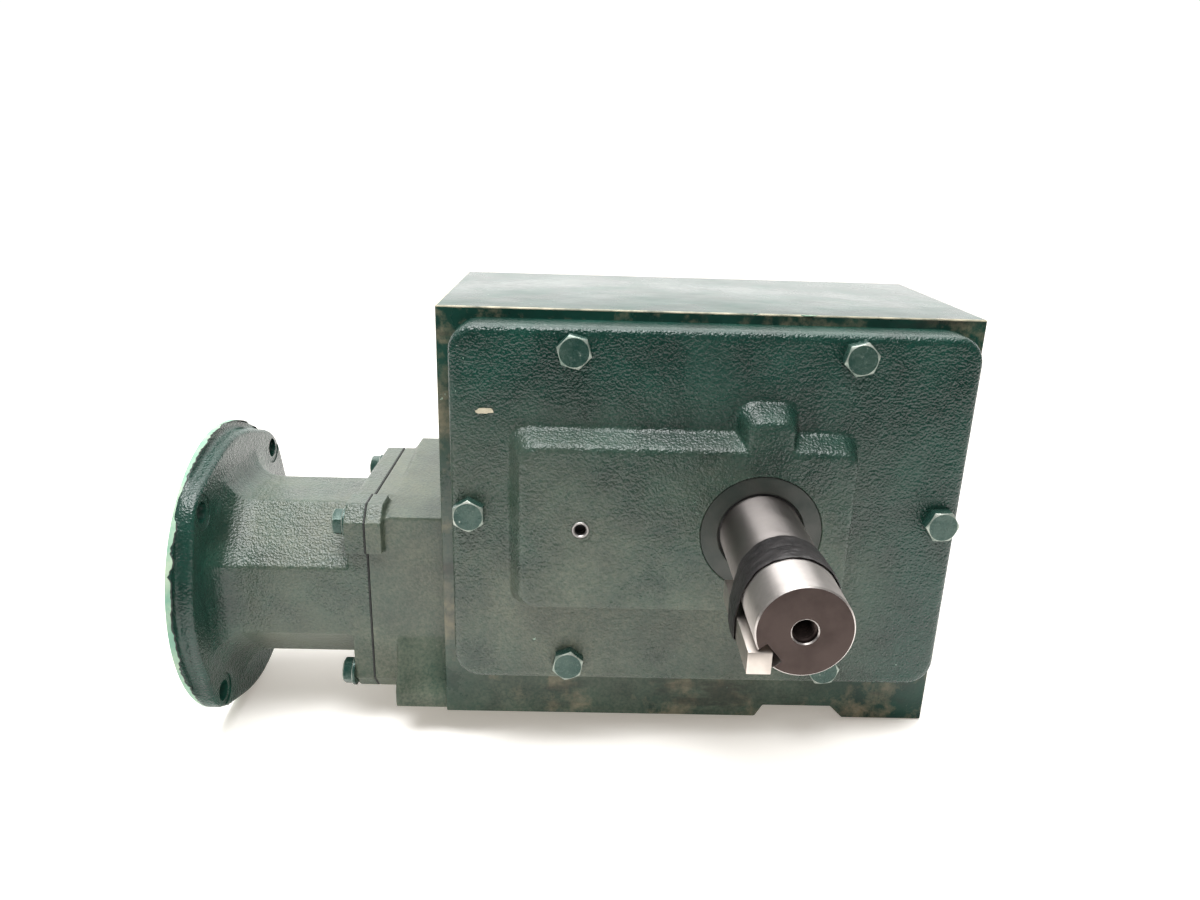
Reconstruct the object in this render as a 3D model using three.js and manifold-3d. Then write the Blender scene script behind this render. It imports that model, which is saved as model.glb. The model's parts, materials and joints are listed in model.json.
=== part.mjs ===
// Right-angle helical-bevel gear reducer with a C-face motor adapter and a keyed solid output shaft.
// Frame: millimetres, +Z up. The origin is the centre of the machined base of the case.
// The motor adapter points to -X and the output shaft to -Y.
import * as THREE from "three";
import { ConvexGeometry } from "three/addons/geometries/ConvexGeometry.js";
import { mergeVertices } from "three/addons/utils/BufferGeometryUtils.js";
import Module from "manifold-3d";

const wasm = await Module();
wasm.setup();

// ---------------------------------------------------------------- driving dimensions
const CASE_WIDTH = 259.5;
const CASE_DEPTH = 123.8;
const CASE_HEIGHT = 220.7;
const CASE_LEFT = -CASE_WIDTH / 2;
const CASE_RIGHT = CASE_WIDTH / 2;
const CASE_FRONT = -CASE_DEPTH / 2;
const CASE_BACK = CASE_DEPTH / 2;
const WALL = 12;
const BACK_WALL = 10;
const LIP = 10; // thickness of the flange that the front cover is bolted to

const SHAFT_HEIGHT = 122; // output, cross and bevel pinion axes
const OUTPUT_X = 25.4;

const FINAL_MODULE = 3.4; // third stage, cross pinion and output gear
const FINAL_PINION_TEETH = 12;
const FINAL_GEAR_TEETH = 38;
const FINAL_HELIX = THREE.MathUtils.degToRad(8);
const FIRST_MODULE = 2.5; // first stage, input pinion and bevel pinion shaft gear
const FIRST_PINION_TEETH = 14;
const FIRST_GEAR_TEETH = 38;
const BEVEL_MODULE = 2.6; // second stage, measured at the large end of the teeth
const BEVEL_PINION_TEETH = 13;
const BEVEL_GEAR_TEETH = 20;
const BEVEL_FACE = 9.5;
const PRESSURE_ANGLE = THREE.MathUtils.degToRad(25);
const TOOTH_THINNING = 0.2; // backlash taken off each flank

const pitchRadius = (module, teeth) => (module * teeth) / 2;
const CROSS_X = OUTPUT_X - pitchRadius(FINAL_MODULE, FINAL_PINION_TEETH + FINAL_GEAR_TEETH);
const INPUT_HEIGHT = SHAFT_HEIGHT - pitchRadius(FIRST_MODULE, FIRST_PINION_TEETH + FIRST_GEAR_TEETH);

const COVER = { left: -121.75, right: 122.75, bottom: 34.3, top: 216, corner: 13 };
const GASKET = 0.8;
const COVER_BACK = CASE_FRONT - GASKET;
const COVER_FRONT = -81.9;
const PAD_FRONT = -92.9;
const COVER_BOLTS = { middleX: 0.25, middleZ: 125.5, nearX: 64.5, farX: 113, rise: 80 };

const SHAFT_RADIUS = 19.05; // 1 1/2 inch output shaft
const SHAFT_FRONT = -181.9;
const KEY_SIDE = 9.525; // 3/8 inch square key
const KEY_LENGTH = 60;
const KEYWAY_ANGLE = THREE.MathUtils.degToRad(220);
const KEYWAY_FLOOR = 14;
const SEAL_RADIUS = 29.5;

const JOINT_X = -171.25; // where the adapter meets the nose of the case
const ADAPTER_FLANGE_LEFT = JOINT_X - GASKET - 10;
const MOTOR_FACE_X = -263.75;
const FLANGE_BACK_X = MOTOR_FACE_X + 11;
const MOTOR_RIM_RADIUS = 82.55; // 6 1/2 inch rim
const MOTOR_BOLT_CIRCLE = 149.225 / 2;
const MOTOR_BOLT_HOLE = 5.6;
const MOTOR_REGISTER = 57.15; // 4 1/2 inch female register
const NECK_FLATS = 93.6;
// Bore radii along the input axis, from the motor face to the wall of the case.
const INPUT_BORES = { neck: 38, seal: 22.2, web: 18.6, chamber: 36, nose: 40, wall: 21 };
const FOOT_LEFT = -157.75;
const ADAPTER_BOLT_SPREAD = { y: 42.5, z: 45 };
const LUG_DEPTH = 9;

const QUILL_FRONT = -250;
const QUILL_BORE = 7.94; // 5/8 inch motor shaft
const QUILL_DEPTH = 46;

const CARRIER = { left: -100.25, right: -90, hub: 30, spread: 42 };

// Bolts: across flats, head height, washer, shank radius, length, and the radii of their holes.
const COVER_BOLT = { across: 14.3, head: 6.2, shank: 4.6, length: 28, tapped: 5, clear: 5.2 };
const ADAPTER_BOLT = {
  across: 12.7, head: 5.4, washer: 1.6, shank: 3.97, length: 18.5, tapped: 4.2, clear: 4.4,
};
const CARRIER_BOLT = { across: 10, head: 4.2, shank: 3, length: 17, tapped: 3.3, clear: 3.5 };

const FREE = 0.2; // clearance between two pieces that fit into each other
const ROUND = 20; // facets of a round surface
const SMALL_HOLE = 8; // facets of a bolt hole

// Tapered roller bearings: radii of bore and outside, and width.
const OUTPUT_BEARING = { bore: SHAFT_RADIUS, outer: 36, width: 18 };
const CROSS_BEARING = { bore: 12.5, outer: 26, width: 15 };
const BEVEL_HEAD_BEARING = { bore: 12.5, outer: 23.5, width: 11.5 };
const BEVEL_TAIL_BEARING = { bore: 10, outer: 21, width: 11 };
const INPUT_HEAD_BEARING = { bore: 15, outer: 31, width: 16 };
const INPUT_TAIL_BEARING = { bore: 12.5, outer: 26, width: 15 };
const ROLLER_TILT = THREE.MathUtils.degToRad(12);
const ROLLERS = 8;
const BEARING_FACETS = 16;

// Where each bearing starts, measured along its own shaft axis.
const OUTPUT_FRONT_AT = -80.9;
const OUTPUT_REAR_AT = 37.4;
const CROSS_FRONT_AT = -77.7;
const CROSS_REAR_AT = 40;
const BEVEL_TAIL_AT = -125.25;
const BEVEL_HEAD_AT = CARRIER.left + FREE;
const INPUT_HEAD_AT = -203;
const INPUT_TAIL_AT = -133;

// Where the gears lie along their shafts.
const FINAL_GEARS = { front: -51, back: -26 };
const FIRST_GEARS = { left: -112.75, right: -101.75 };
const OUTPUT_GEAR_SEAT = 21;
const OUTPUT_GEAR_KEY = 8;
const STAGE_KEY = 6; // square keys of the bevel gear and of the first-stage gear
const FIRST_GEAR_SEAT = 11.5;
const PINION_SEAT = 9.5;
const PINION_KEY = 5;
const COLLAR_FACE = 13.3; // shoulder of the cross shaft that the bevel gear is pushed against
const BEVEL_HUB_BACK = 39.5;

// ---------------------------------------------------------------- materials
function finish(color, roughness, metalness) {
  return () => new THREE.MeshStandardMaterial({ color, roughness, metalness });
}

const greenEnamel = finish(0x24483f, 0.42, 0.1);
const paintedBolt = finish(0x3f6b5e, 0.35, 0.3);
const groundSteel = finish(0xb9b6b2, 0.28, 1);
const toughSteel = finish(0x8d8a88, 0.4, 1);
const blackTape = finish(0x1b1a1b, 0.7, 0);
const sealCase = finish(0x6a5b55, 0.6, 0.3);
const gasketPaper = finish(0x15171a, 0.85, 0);
const rawIron = finish(0x55534f, 0.6, 0.8);
const plugBrass = finish(0xa38b4e, 0.4, 1);

// ---------------------------------------------------------------- solids
// A closed surface as a solid whose faces point out. Triangles that have shrunk to a line are dropped.
function solidFrom(vertProperties, corners) {
  const build = (second, third) => {
    const triVerts = [];
    for (let i = 0; i < corners.length; i += 3) {
      const [a, b, c] = [corners[i], corners[i + second], corners[i + third]];
      if (a !== b && b !== c && c !== a) triVerts.push(a, b, c);
    }
    const surface = { numProp: 3, vertProperties, triVerts: new Uint32Array(triVerts) };
    return new wasm.Manifold(new wasm.Mesh(surface));
  };
  const made = build(1, 2);
  return made.volume() < 0 ? build(2, 1) : made;
}

function toSolid(geometry) {
  const bare = geometry.index ? geometry.toNonIndexed() : geometry.clone();
  bare.deleteAttribute("normal");
  bare.deleteAttribute("uv");
  const merged = mergeVertices(bare, 1e-4);
  return solidFrom(merged.attributes.position.array, merged.index.array);
}

function toGeometry(solid) {
  const { vertProperties, triVerts } = solid.getMesh();
  const indexed = new THREE.BufferGeometry();
  indexed.setAttribute("position", new THREE.BufferAttribute(vertProperties, 3));
  indexed.setIndex(new THREE.BufferAttribute(triVerts, 1));
  const flat = indexed.toNonIndexed();
  flat.computeVertexNormals();
  return flat;
}

const join = (...solids) => solids.reduce((whole, piece) => whole.add(piece));
const cut = (solid, ...tools) => tools.reduce((left, tool) => left.subtract(tool), solid);

// Turns the +Y axis, about which turned pieces are made, onto the named axis at a point.
function along(axis, x = 0, y = 0, z = 0) {
  const turns = {
    X: new THREE.Matrix4().makeRotationZ(-Math.PI / 2),
    Y: new THREE.Matrix4(),
    Z: new THREE.Matrix4().makeRotationX(Math.PI / 2),
  };
  return turns[axis].premultiply(new THREE.Matrix4().makeTranslation(x, y, z));
}

// A solid of revolution. The profile holds [radius, distance along the axis] pairs.
function turned(profile, placement, segments = ROUND) {
  const points = profile.map(([radius, height]) => new THREE.Vector2(radius, height));
  if (points[0].x > 0) points.push(points[0].clone());
  return toSolid(new THREE.LatheGeometry(points, segments).applyMatrix4(placement));
}

function rod(radius, from, to, placement, segments = ROUND) {
  return turned([[0, from], [radius, from], [radius, to], [0, to]], placement, segments);
}

// A polygon-sided hole that a round shaft of the given radius turns in freely.
const clearOf = (radius, segments = ROUND) => (radius + FREE) / Math.cos(Math.PI / segments);

function block(from, to) {
  const size = to.map((high, i) => high - from[i]);
  const middle = to.map((high, i) => (high + from[i]) / 2);
  return toSolid(new THREE.BoxGeometry(...size).translate(...middle));
}

const AXES = { X: new THREE.Vector3(1, 0, 0), Y: new THREE.Vector3(0, 1, 0), Z: new THREE.Vector3(0, 0, 1) };
const SEEN_FROM_FRONT = new THREE.Matrix4().makeBasis(AXES.X, AXES.Z, AXES.Y.clone().negate());
const SEEN_FROM_MOTOR = new THREE.Matrix4().makeBasis(AXES.Y, AXES.Z, AXES.X);

function extruded(shape, depth, view) {
  const settings = { depth, bevelEnabled: false, curveSegments: 4 };
  return new THREE.ExtrudeGeometry(shape, settings).applyMatrix4(view);
}

// An outline in X and Z, from a front face to a back face along Y.
function frontSlab(shape, front, back) {
  return toSolid(extruded(shape, back - front, SEEN_FROM_FRONT).translate(0, back, 0));
}

// An outline in Y and Z, from a left face to a right face along X.
function sideSlab(shape, left, right) {
  return toSolid(extruded(shape, right - left, SEEN_FROM_MOTOR).translate(left, 0, 0));
}

const polygon = (points) => new THREE.Shape(points.map(([u, v]) => new THREE.Vector2(u, v)));

function roundedRectangle({ left, right, bottom, top, corner }) {
  const shape = new THREE.Shape();
  shape.absarc(right - corner, bottom + corner, corner, -Math.PI / 2, 0);
  shape.absarc(right - corner, top - corner, corner, 0, Math.PI / 2);
  shape.absarc(left + corner, top - corner, corner, Math.PI / 2, Math.PI);
  shape.absarc(left + corner, bottom + corner, corner, Math.PI, Math.PI * 1.5);
  return shape;
}

// A closed solid through rings with the same number of points, its ends fanned from two centres.
function lofted(rings, firstCentre, lastCentre) {
  const count = rings[0].length;
  const vertices = rings.flat();
  const corners = [];
  for (let ring = 0; ring + 1 < rings.length; ring++) {
    for (let i = 0; i < count; i++) {
      const next = (i + 1) % count;
      const [a, b] = [ring * count + i, ring * count + next];
      corners.push(a, b, b + count, a, b + count, a + count);
    }
  }
  const last = (rings.length - 1) * count;
  const [firstTip, lastTip] = [vertices.length, vertices.length + 1];
  for (let i = 0; i < count; i++) {
    const next = (i + 1) % count;
    corners.push(firstTip, next, i, lastTip, last + i, last + next);
  }
  const surface = new THREE.BufferGeometry().setFromPoints([...vertices, firstCentre, lastCentre]);
  return toSolid(surface.setIndex(corners));
}

// A raised pad whose sides lean in: two outlines in X and Z with the same number of corners.
function draftedPad(foot, face, back, front) {
  const ring = (outline, y) =>
    roundedRectangle(outline).extractPoints(4).shape.slice(0, -1).map((p) => new THREE.Vector3(p.x, y, p.y));
  const middle = (outline, y) =>
    new THREE.Vector3((outline.left + outline.right) / 2, y, (outline.bottom + outline.top) / 2);
  return lofted([ring(foot, back), ring(face, front)], middle(foot, back), middle(face, front));
}

// ---------------------------------------------------------------- gear teeth
const involute = (angle) => Math.tan(angle) - angle;

// Half of the angle that an involute tooth spans at a radius.
function halfToothAngle(pitch, teeth, radius) {
  const base = pitch * Math.cos(PRESSURE_ANGLE);
  const unwound = radius > base ? involute(Math.acos(base / radius)) : 0;
  return Math.PI / (2 * teeth) - TOOTH_THINNING / pitch + involute(PRESSURE_ANGLE) - unwound;
}

// One flank from root to tip as [radius, half angle] pairs.
function toothFlank(module, pitch, teeth, steps) {
  const root = pitch - 1.25 * module;
  const tip = pitch + module;
  return Array.from({ length: steps + 1 }, (_, i) => {
    const radius = root + ((tip - root) * i) / steps;
    return [radius, halfToothAngle(pitch, teeth, radius)];
  });
}

// The corners of all the teeth as [radius, angle] pairs, the first tooth centred on the phase.
function toothedOutline(flank, teeth, phase) {
  const outline = [];
  for (let tooth = 0; tooth < teeth; tooth++) {
    const centre = phase + (tooth * 2 * Math.PI) / teeth;
    flank.forEach(([radius, half]) => outline.push([radius, centre - half]));
    flank.toReversed().forEach(([radius, half]) => outline.push([radius, centre + half]));
  }
  return outline;
}

// A point at a radius and an angle round a shaft, at a distance along it. On a shaft along Y the
// angle runs from +X towards +Z, and on a shaft along X it runs from +Y towards +Z.
function aroundShaft(axis, radius, angle, distance) {
  const [u, v] = [radius * Math.cos(angle), radius * Math.sin(angle)];
  return axis === "Y" ? new THREE.Vector3(u, distance, v) : new THREE.Vector3(distance, u, v);
}

// A cylindrical gear blank with teeth. Its phase turns by twist radians for each millimetre.
function cylindricalTeeth({ axis, module, teeth, steps, from, to, slices, phase, twist }) {
  const flank = toothFlank(module, pitchRadius(module, teeth), teeth, steps);
  const rings = Array.from({ length: slices + 1 }, (_, i) => {
    const at = from + ((to - from) * i) / slices;
    const outline = toothedOutline(flank, teeth, phase + twist * (at - from));
    return outline.map(([radius, angle]) => aroundShaft(axis, radius, angle, at));
  });
  return lofted(rings, aroundShaft(axis, 0, 0, from), aroundShaft(axis, 0, 0, to));
}

// Bevel teeth on a shaft through the point where the two axes cross. Teeth are shaped on the back
// cone and shrink towards the crossing point. The direction is the side of it that they lie on.
function bevelTeeth({ axis, teeth, mateTeeth, steps, direction, phase }) {
  const pitch = pitchRadius(BEVEL_MODULE, teeth);
  const heel = pitchRadius(BEVEL_MODULE, mateTeeth);
  const cone = Math.atan2(pitch, heel);
  const shrink = 1 - BEVEL_FACE / Math.hypot(pitch, heel);
  const backRadius = pitch / Math.cos(cone);
  const flank = toothFlank(BEVEL_MODULE, backRadius, teeth / Math.cos(cone), steps);
  const onAxis = (radius) => heel - (radius - backRadius) * Math.sin(cone);
  const spread = flank.map(([radius, half]) => [radius, half / Math.cos(cone)]);
  const rootCircle = spread.map(([, half]) => [flank[0][0], half]);
  const ring = (corners, scale) =>
    toothedOutline(corners, teeth, phase).map(([radius, angle]) =>
      aroundShaft(axis, radius * Math.cos(cone) * scale, angle, direction * onAxis(radius) * scale),
    );
  const rings = [ring(rootCircle, 1), ring(spread, 1), ring(spread, shrink), ring(rootCircle, shrink)];
  const root = direction * onAxis(flank[0][0]);
  return lofted(rings, aroundShaft(axis, 0, 0, root), aroundShaft(axis, 0, 0, root * shrink));
}

// ---------------------------------------------------------------- bearings, bolts and keys
// A tapered roller bearing from one end to the other along an axis. The cup is the outer ring, and
// the cone is the inner ring with its rollers. It is wider towards + or - as opens says.
function taperedBearing({ bore, outer, width }, axis, start, opens) {
  const facets = BEARING_FACETS;
  const middle = (bore + outer) / 2;
  const rollerRadius = (outer - bore) * 0.2;
  const track = (offset, height) => middle + offset + Math.tan(ROLLER_TILT) * opens * (height - width / 2);
  const placement = axis === "X" ? along("X", start) : along("Y", 0, start);
  const cupTrack = (height) => clearOf(track(rollerRadius * 1.02, height), facets);
  const cupProfile = [[cupTrack(0), 0], [outer - FREE, 0], [outer - FREE, width], [cupTrack(width), width]];
  const coneTrack = (height) => track(-rollerRadius * 0.75, height);
  const inner = clearOf(bore, facets);
  const coneOutline = [[inner, 0], [coneTrack(0), 0], [coneTrack(width), width], [inner, width]];
  let cone = turned(coneOutline, placement, facets);
  for (let i = 0; i < ROLLERS; i++) {
    const roller = new THREE.CylinderGeometry(rollerRadius, rollerRadius, width * 0.78, 6);
    roller.rotateZ(-ROLLER_TILT * opens).translate(middle, width / 2, 0);
    roller.rotateY((i * 2 * Math.PI) / ROLLERS).applyMatrix4(placement);
    cone = cone.add(toSolid(roller));
  }
  return { cup: turned(cupProfile, placement, facets), cone };
}

// A hexagon bolt about +Y with the underside of its head at 0 and its shank towards +Y.
function hexBolt({ across, head, shank, length, washer = 0 }, placement) {
  const hexagon = new THREE.CylinderGeometry(across / Math.sqrt(3), across / Math.sqrt(3), head, 6);
  hexagon.translate(0, -washer - head / 2, 0).applyMatrix4(placement);
  let bolt = toSolid(hexagon).add(rod(shank, -washer - 1, length, placement, SMALL_HOLE));
  if (washer > 0) bolt = bolt.add(rod(across * 0.62, -washer, 0, placement, 16));
  return bolt;
}

// A pipe plug with a hexagon socket, its outer face at 0 and its body towards +Y.
function pipePlug(radius, length, placement) {
  const socket = new THREE.CylinderGeometry(radius * 0.55, radius * 0.55, length, 6);
  socket.translate(0, -length / 2 + 5, 0).applyMatrix4(placement);
  return rod(radius, 0, length, placement, 16).subtract(toSolid(socket));
}

// A square-section key on a shaft along the named axis, sunk half into it.
function squareKey(axis, side, radius, from, to, slack = 0) {
  const half = side / 2 + slack;
  const [low, high] = [[-half, radius - half], [half, radius + half]];
  return axis === "Y"
    ? block([low[0], from, low[1]], [high[0], to, high[1]])
    : block([from, low[0], low[1]], [to, high[0], high[1]]);
}

// ---------------------------------------------------------------- case and covers
// The outline, in Y and Z, that the nose of the case and the back flange of the adapter share.
const NOSE = { front: -47.4, back: 57, top: 110.7, bottom: 0.5 };
const NOSE_FOOT = [[NOSE.front, NOSE.bottom + 10], [NOSE.front + 8, NOSE.bottom], [NOSE.back, NOSE.bottom]];
const noseShape = polygon([...NOSE_FOOT, [NOSE.back, NOSE.top], [-25, NOSE.top], [NOSE.front, 94]]);

// Behind the bolt lug the nose is fuller, and its top slopes up towards the back.
const fullNoseShape = polygon([...NOSE_FOOT, [NOSE.back, 117], [-25, 110], [NOSE.front, 106.5]]);
const FULL_NOSE_X = JOINT_X + 12;

// The lug that carries the front upper adapter bolt, split by the joint.
const boltLug = polygon([[-52, 88], [-30, 88], [-30, 113], [-44, 113], [-52, 105]]);

const adapterBoltPlaces = [-1, 1].flatMap((side) =>
  [-1, 1].map((level) => ({
    y: side * ADAPTER_BOLT_SPREAD.y,
    z: INPUT_HEIGHT + level * ADAPTER_BOLT_SPREAD.z,
  })),
);

const coverBoltPlaces = [
  ...[-1, 1].flatMap((level) =>
    [-1, 1].map((side) => ({
      x: COVER_BOLTS.middleX + side * COVER_BOLTS.nearX,
      z: COVER_BOLTS.middleZ + level * COVER_BOLTS.rise,
    })),
  ),
  ...[-1, 1].map((side) => ({ x: COVER_BOLTS.middleX + side * COVER_BOLTS.farX, z: COVER_BOLTS.middleZ })),
];

const carrierBoltPlaces = [-1, 1].flatMap((side) =>
  [-1, 1].map((level) => ({ y: side * CARRIER.spread, z: SHAFT_HEIGHT + level * CARRIER.spread })),
);

// Heights of the plugs in the right end, which stand off the middle of the case.
const plugPlaces = { vent_plug: 190, level_plug: 96, drain_plug: 24 };
const PLUG_RADIUS = 8.4;
const PLUG_Y = 20;

const CAVITY = { left: CASE_LEFT + WALL, right: CASE_RIGHT - WALL, bottom: 13, top: 208, corner: 8 };
const MOUTH = { left: -104, right: 104, bottom: 55, top: 195, corner: 10 };
const CAVITY_BACK = CASE_BACK - BACK_WALL;

function caseWalls() {
  const box = block([CASE_LEFT, CASE_FRONT, 0], [CASE_RIGHT, CASE_BACK, CASE_HEIGHT]);
  const nose = sideSlab(noseShape, JOINT_X, CASE_LEFT + 1);
  const fullNose = sideSlab(fullNoseShape, FULL_NOSE_X, CASE_LEFT + 1);
  const lug = sideSlab(boltLug, JOINT_X, JOINT_X + LUG_DEPTH);
  const foot = polygon([[-60, 0], [60, 0], [60, 9], [54, 26], [-46, 26], [-60, 9]]);
  const hollow = frontSlab(roundedRectangle(CAVITY), CASE_FRONT + LIP, CAVITY_BACK);
  const mouth = frontSlab(roundedRectangle(MOUTH), CASE_FRONT - 1, CASE_FRONT + LIP + 1);
  return cut(join(box, nose, fullNose, lug, sideSlab(foot, FOOT_LEFT, CASE_LEFT + 1)), hollow, mouth);
}

function caseBosses() {
  const outputBoss = rod(44, OUTPUT_REAR_AT - 1, CASE_BACK - 1, along("Y", OUTPUT_X, 0, SHAFT_HEIGHT));
  const crossBoss = rod(33, CROSS_REAR_AT - 1, CASE_BACK - 1, along("Y", CROSS_X, 0, SHAFT_HEIGHT));
  const tailBoss = rod(27, CASE_LEFT + 1, BEVEL_TAIL_AT + 11.3, along("X", 0, 0, SHAFT_HEIGHT));
  const inputBoss = rod(32, JOINT_X + 34, CASE_LEFT + WALL + 1, along("X", 0, 0, INPUT_HEIGHT));
  const posts = carrierBoltPlaces.map(({ y, z }) =>
    rod(7, CASE_LEFT + 1, CARRIER.left, along("X", 0, y, z), 12),
  );
  return join(outputBoss, crossBoss, tailBoss, inputBoss, ...posts);
}

function caseBores() {
  const back = CASE_BACK + 1;
  const output = along("Y", OUTPUT_X, 0, SHAFT_HEIGHT);
  const cross = along("Y", CROSS_X, 0, SHAFT_HEIGHT);
  const input = along("X", 0, 0, INPUT_HEIGHT);
  const tail = along("X", 0, 0, SHAFT_HEIGHT);
  return [
    rod(clearOf(OUTPUT_BEARING.outer), OUTPUT_REAR_AT - 2, back, output),
    rod(clearOf(CROSS_BEARING.outer), CROSS_REAR_AT - 2, back, cross),
    rod(clearOf(BEVEL_TAIL_BEARING.outer), BEVEL_TAIL_AT - 0.3, BEVEL_TAIL_AT + 12, tail),
    rod(clearOf(INPUT_TAIL_BEARING.outer), INPUT_TAIL_AT - 0.3, CASE_LEFT + WALL + 2, input),
    rod(INPUT_BORES.nose, JOINT_X - 1, JOINT_X + 33, input),
    rod(INPUT_BORES.wall, JOINT_X, INPUT_TAIL_AT, input),
  ];
}

function gearCase() {
  const tappedHoles = [
    ...coverBoltPlaces.map(({ x, z }) =>
      rod(COVER_BOLT.tapped, CASE_FRONT - 1, CASE_FRONT + LIP + 1, along("Y", x, 0, z), SMALL_HOLE),
    ),
    ...adapterBoltPlaces.map(({ y, z }) =>
      rod(ADAPTER_BOLT.tapped, JOINT_X - 1, JOINT_X + LUG_DEPTH - 1, along("X", 0, y, z), SMALL_HOLE),
    ),
    ...carrierBoltPlaces.map(({ y, z }) =>
      rod(CARRIER_BOLT.tapped, CARRIER.left - 9, CARRIER.left + 1, along("X", 0, y, z), SMALL_HOLE),
    ),
    ...Object.values(plugPlaces).map((z) =>
      rod(PLUG_RADIUS + FREE * 2, CASE_RIGHT - WALL - 1, CASE_RIGHT + 1, along("X", 0, PLUG_Y, z), 16),
    ),
  ];
  const channel = polygon([[38.25, -1], [86.25, -1], [86.25, 0], [79.25, 7], [42.25, 7], [38.25, 0]]);
  const underside = frontSlab(channel, CASE_FRONT - 1, CASE_BACK + 1);
  return cut(join(caseWalls(), caseBosses()), ...caseBores(), ...tappedHoles, underside);
}

const PAD_FOOT = { left: -94.25, right: 69.25, bottom: 78, top: 169, corner: 8 };
const PAD_FACE = { left: -87.75, right: 67.25, bottom: 81, top: 162, corner: 8 };
const HUMP_FOOT = { left: 11.25, right: 40.25, bottom: 120, top: 183.5, corner: 7 };
const HUMP_FACE = { left: 16.25, right: 37.25, bottom: 120, top: 176, corner: 6 };

function frontCover() {
  const plate = frontSlab(roundedRectangle(COVER), COVER_FRONT, COVER_BACK);
  const pad = draftedPad(PAD_FOOT, PAD_FACE, COVER_FRONT + 1, PAD_FRONT);
  const hump = draftedPad(HUMP_FOOT, HUMP_FACE, COVER_FRONT + 1, PAD_FRONT);
  const output = along("Y", OUTPUT_X, 0, SHAFT_HEIGHT);
  const cross = along("Y", CROSS_X, 0, SHAFT_HEIGHT);
  const pocket = cut(
    frontSlab(roundedRectangle({ ...MOUTH, left: -100, right: 100 }), COVER_BACK - 9, COVER_BACK + 1),
    rod(44, COVER_BACK - 10, COVER_BACK + 2, output),
    rod(33, COVER_BACK - 10, COVER_BACK + 2, cross),
  );
  const bores = [
    rod(clearOf(OUTPUT_BEARING.outer), OUTPUT_FRONT_AT - 0.3, COVER_BACK + 1, output),
    rod(SEAL_RADIUS, PAD_FRONT - 1, OUTPUT_FRONT_AT, output, 36),
    rod(clearOf(CROSS_BEARING.outer), CROSS_FRONT_AT - 0.3, COVER_BACK + 1, cross),
    rod(2, PAD_FRONT - 1, PAD_FRONT + 11, cross, SMALL_HOLE),
  ];
  const boltHoles = coverBoltPlaces.map(({ x, z }) =>
    rod(COVER_BOLT.clear, COVER_FRONT - 1, COVER_BACK + 1, along("Y", x, 0, z), SMALL_HOLE),
  );
  return cut(join(plate, pad, hump), pocket, ...bores, ...boltHoles);
}

function coverGasket() {
  const outline = { ...COVER, left: COVER.left + 0.5, right: COVER.right - 0.5, top: COVER.top - 0.5 };
  const sheet = frontSlab(roundedRectangle(outline), COVER_BACK, CASE_FRONT);
  const window = frontSlab(roundedRectangle(MOUTH), COVER_BACK - 1, CASE_FRONT + 1);
  const holes = coverBoltPlaces.map(({ x, z }) =>
    rod(COVER_BOLT.clear, COVER_BACK - 1, CASE_FRONT + 1, along("Y", x, 0, z), SMALL_HOLE),
  );
  return cut(sheet, window, ...holes);
}

// ---------------------------------------------------------------- motor adapter
// The back of the motor flange: a disc that swells into a lobe round each bolt hole.
function lobedShape() {
  const corners = 48;
  const points = Array.from({ length: corners }, (_, i) => {
    const angle = (i * 2 * Math.PI) / corners;
    const radius = 78 + 5.5 * Math.sin(2 * angle) ** 8;
    return [radius * Math.cos(angle), INPUT_HEIGHT + radius * Math.sin(angle)];
  });
  return polygon(points);
}

// The neck is an octagon that flares where it meets the motor flange.
function adapterNeck() {
  const flare = [[FLANGE_BACK_X, 1.28], [-247, 1.09], [-240, 1], [ADAPTER_FLANGE_LEFT + 2, 1]];
  const centre = (x) => new THREE.Vector3(x, 0, INPUT_HEIGHT);
  const rings = flare.map(([x, scale]) =>
    Array.from({ length: 8 }, (_, i) => {
      const angle = ((i + 0.5) * Math.PI) / 4;
      const radius = (NECK_FLATS / 2 / Math.cos(Math.PI / 8)) * scale;
      return aroundShaft("X", radius, angle, x).add(centre(0));
    }),
  );
  return lofted(rings, centre(flare[0][0]), centre(flare[flare.length - 1][0]));
}

const SEAL_WEB = { left: -214, right: -204.5 };

// The flange and the neck behind it are one casting, kept as two solids so that collision leaves the
// flange's bore open.
function motorFlange() {
  const input = along("X", 0, 0, INPUT_HEIGHT);
  const rim = rod(MOTOR_RIM_RADIUS, MOTOR_FACE_X, MOTOR_FACE_X + 3, input, 48);
  const lobes = sideSlab(lobedShape(), MOTOR_FACE_X + 2, FLANGE_BACK_X);
  const motorHoles = [1, 3, 5, 7].map((eighth) => {
    const angle = (eighth * Math.PI) / 4;
    const [y, z] = [MOTOR_BOLT_CIRCLE * Math.cos(angle), INPUT_HEIGHT + MOTOR_BOLT_CIRCLE * Math.sin(angle)];
    return rod(MOTOR_BOLT_HOLE, MOTOR_FACE_X - 1, FLANGE_BACK_X + 1, along("X", 0, y, z), 16);
  });
  return cut(
    join(rim, lobes),
    rod(MOTOR_REGISTER, MOTOR_FACE_X - 1, MOTOR_FACE_X + 4, input, 48),
    rod(INPUT_BORES.neck, MOTOR_FACE_X, FLANGE_BACK_X + 1, input),
    ...motorHoles,
  );
}

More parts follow.
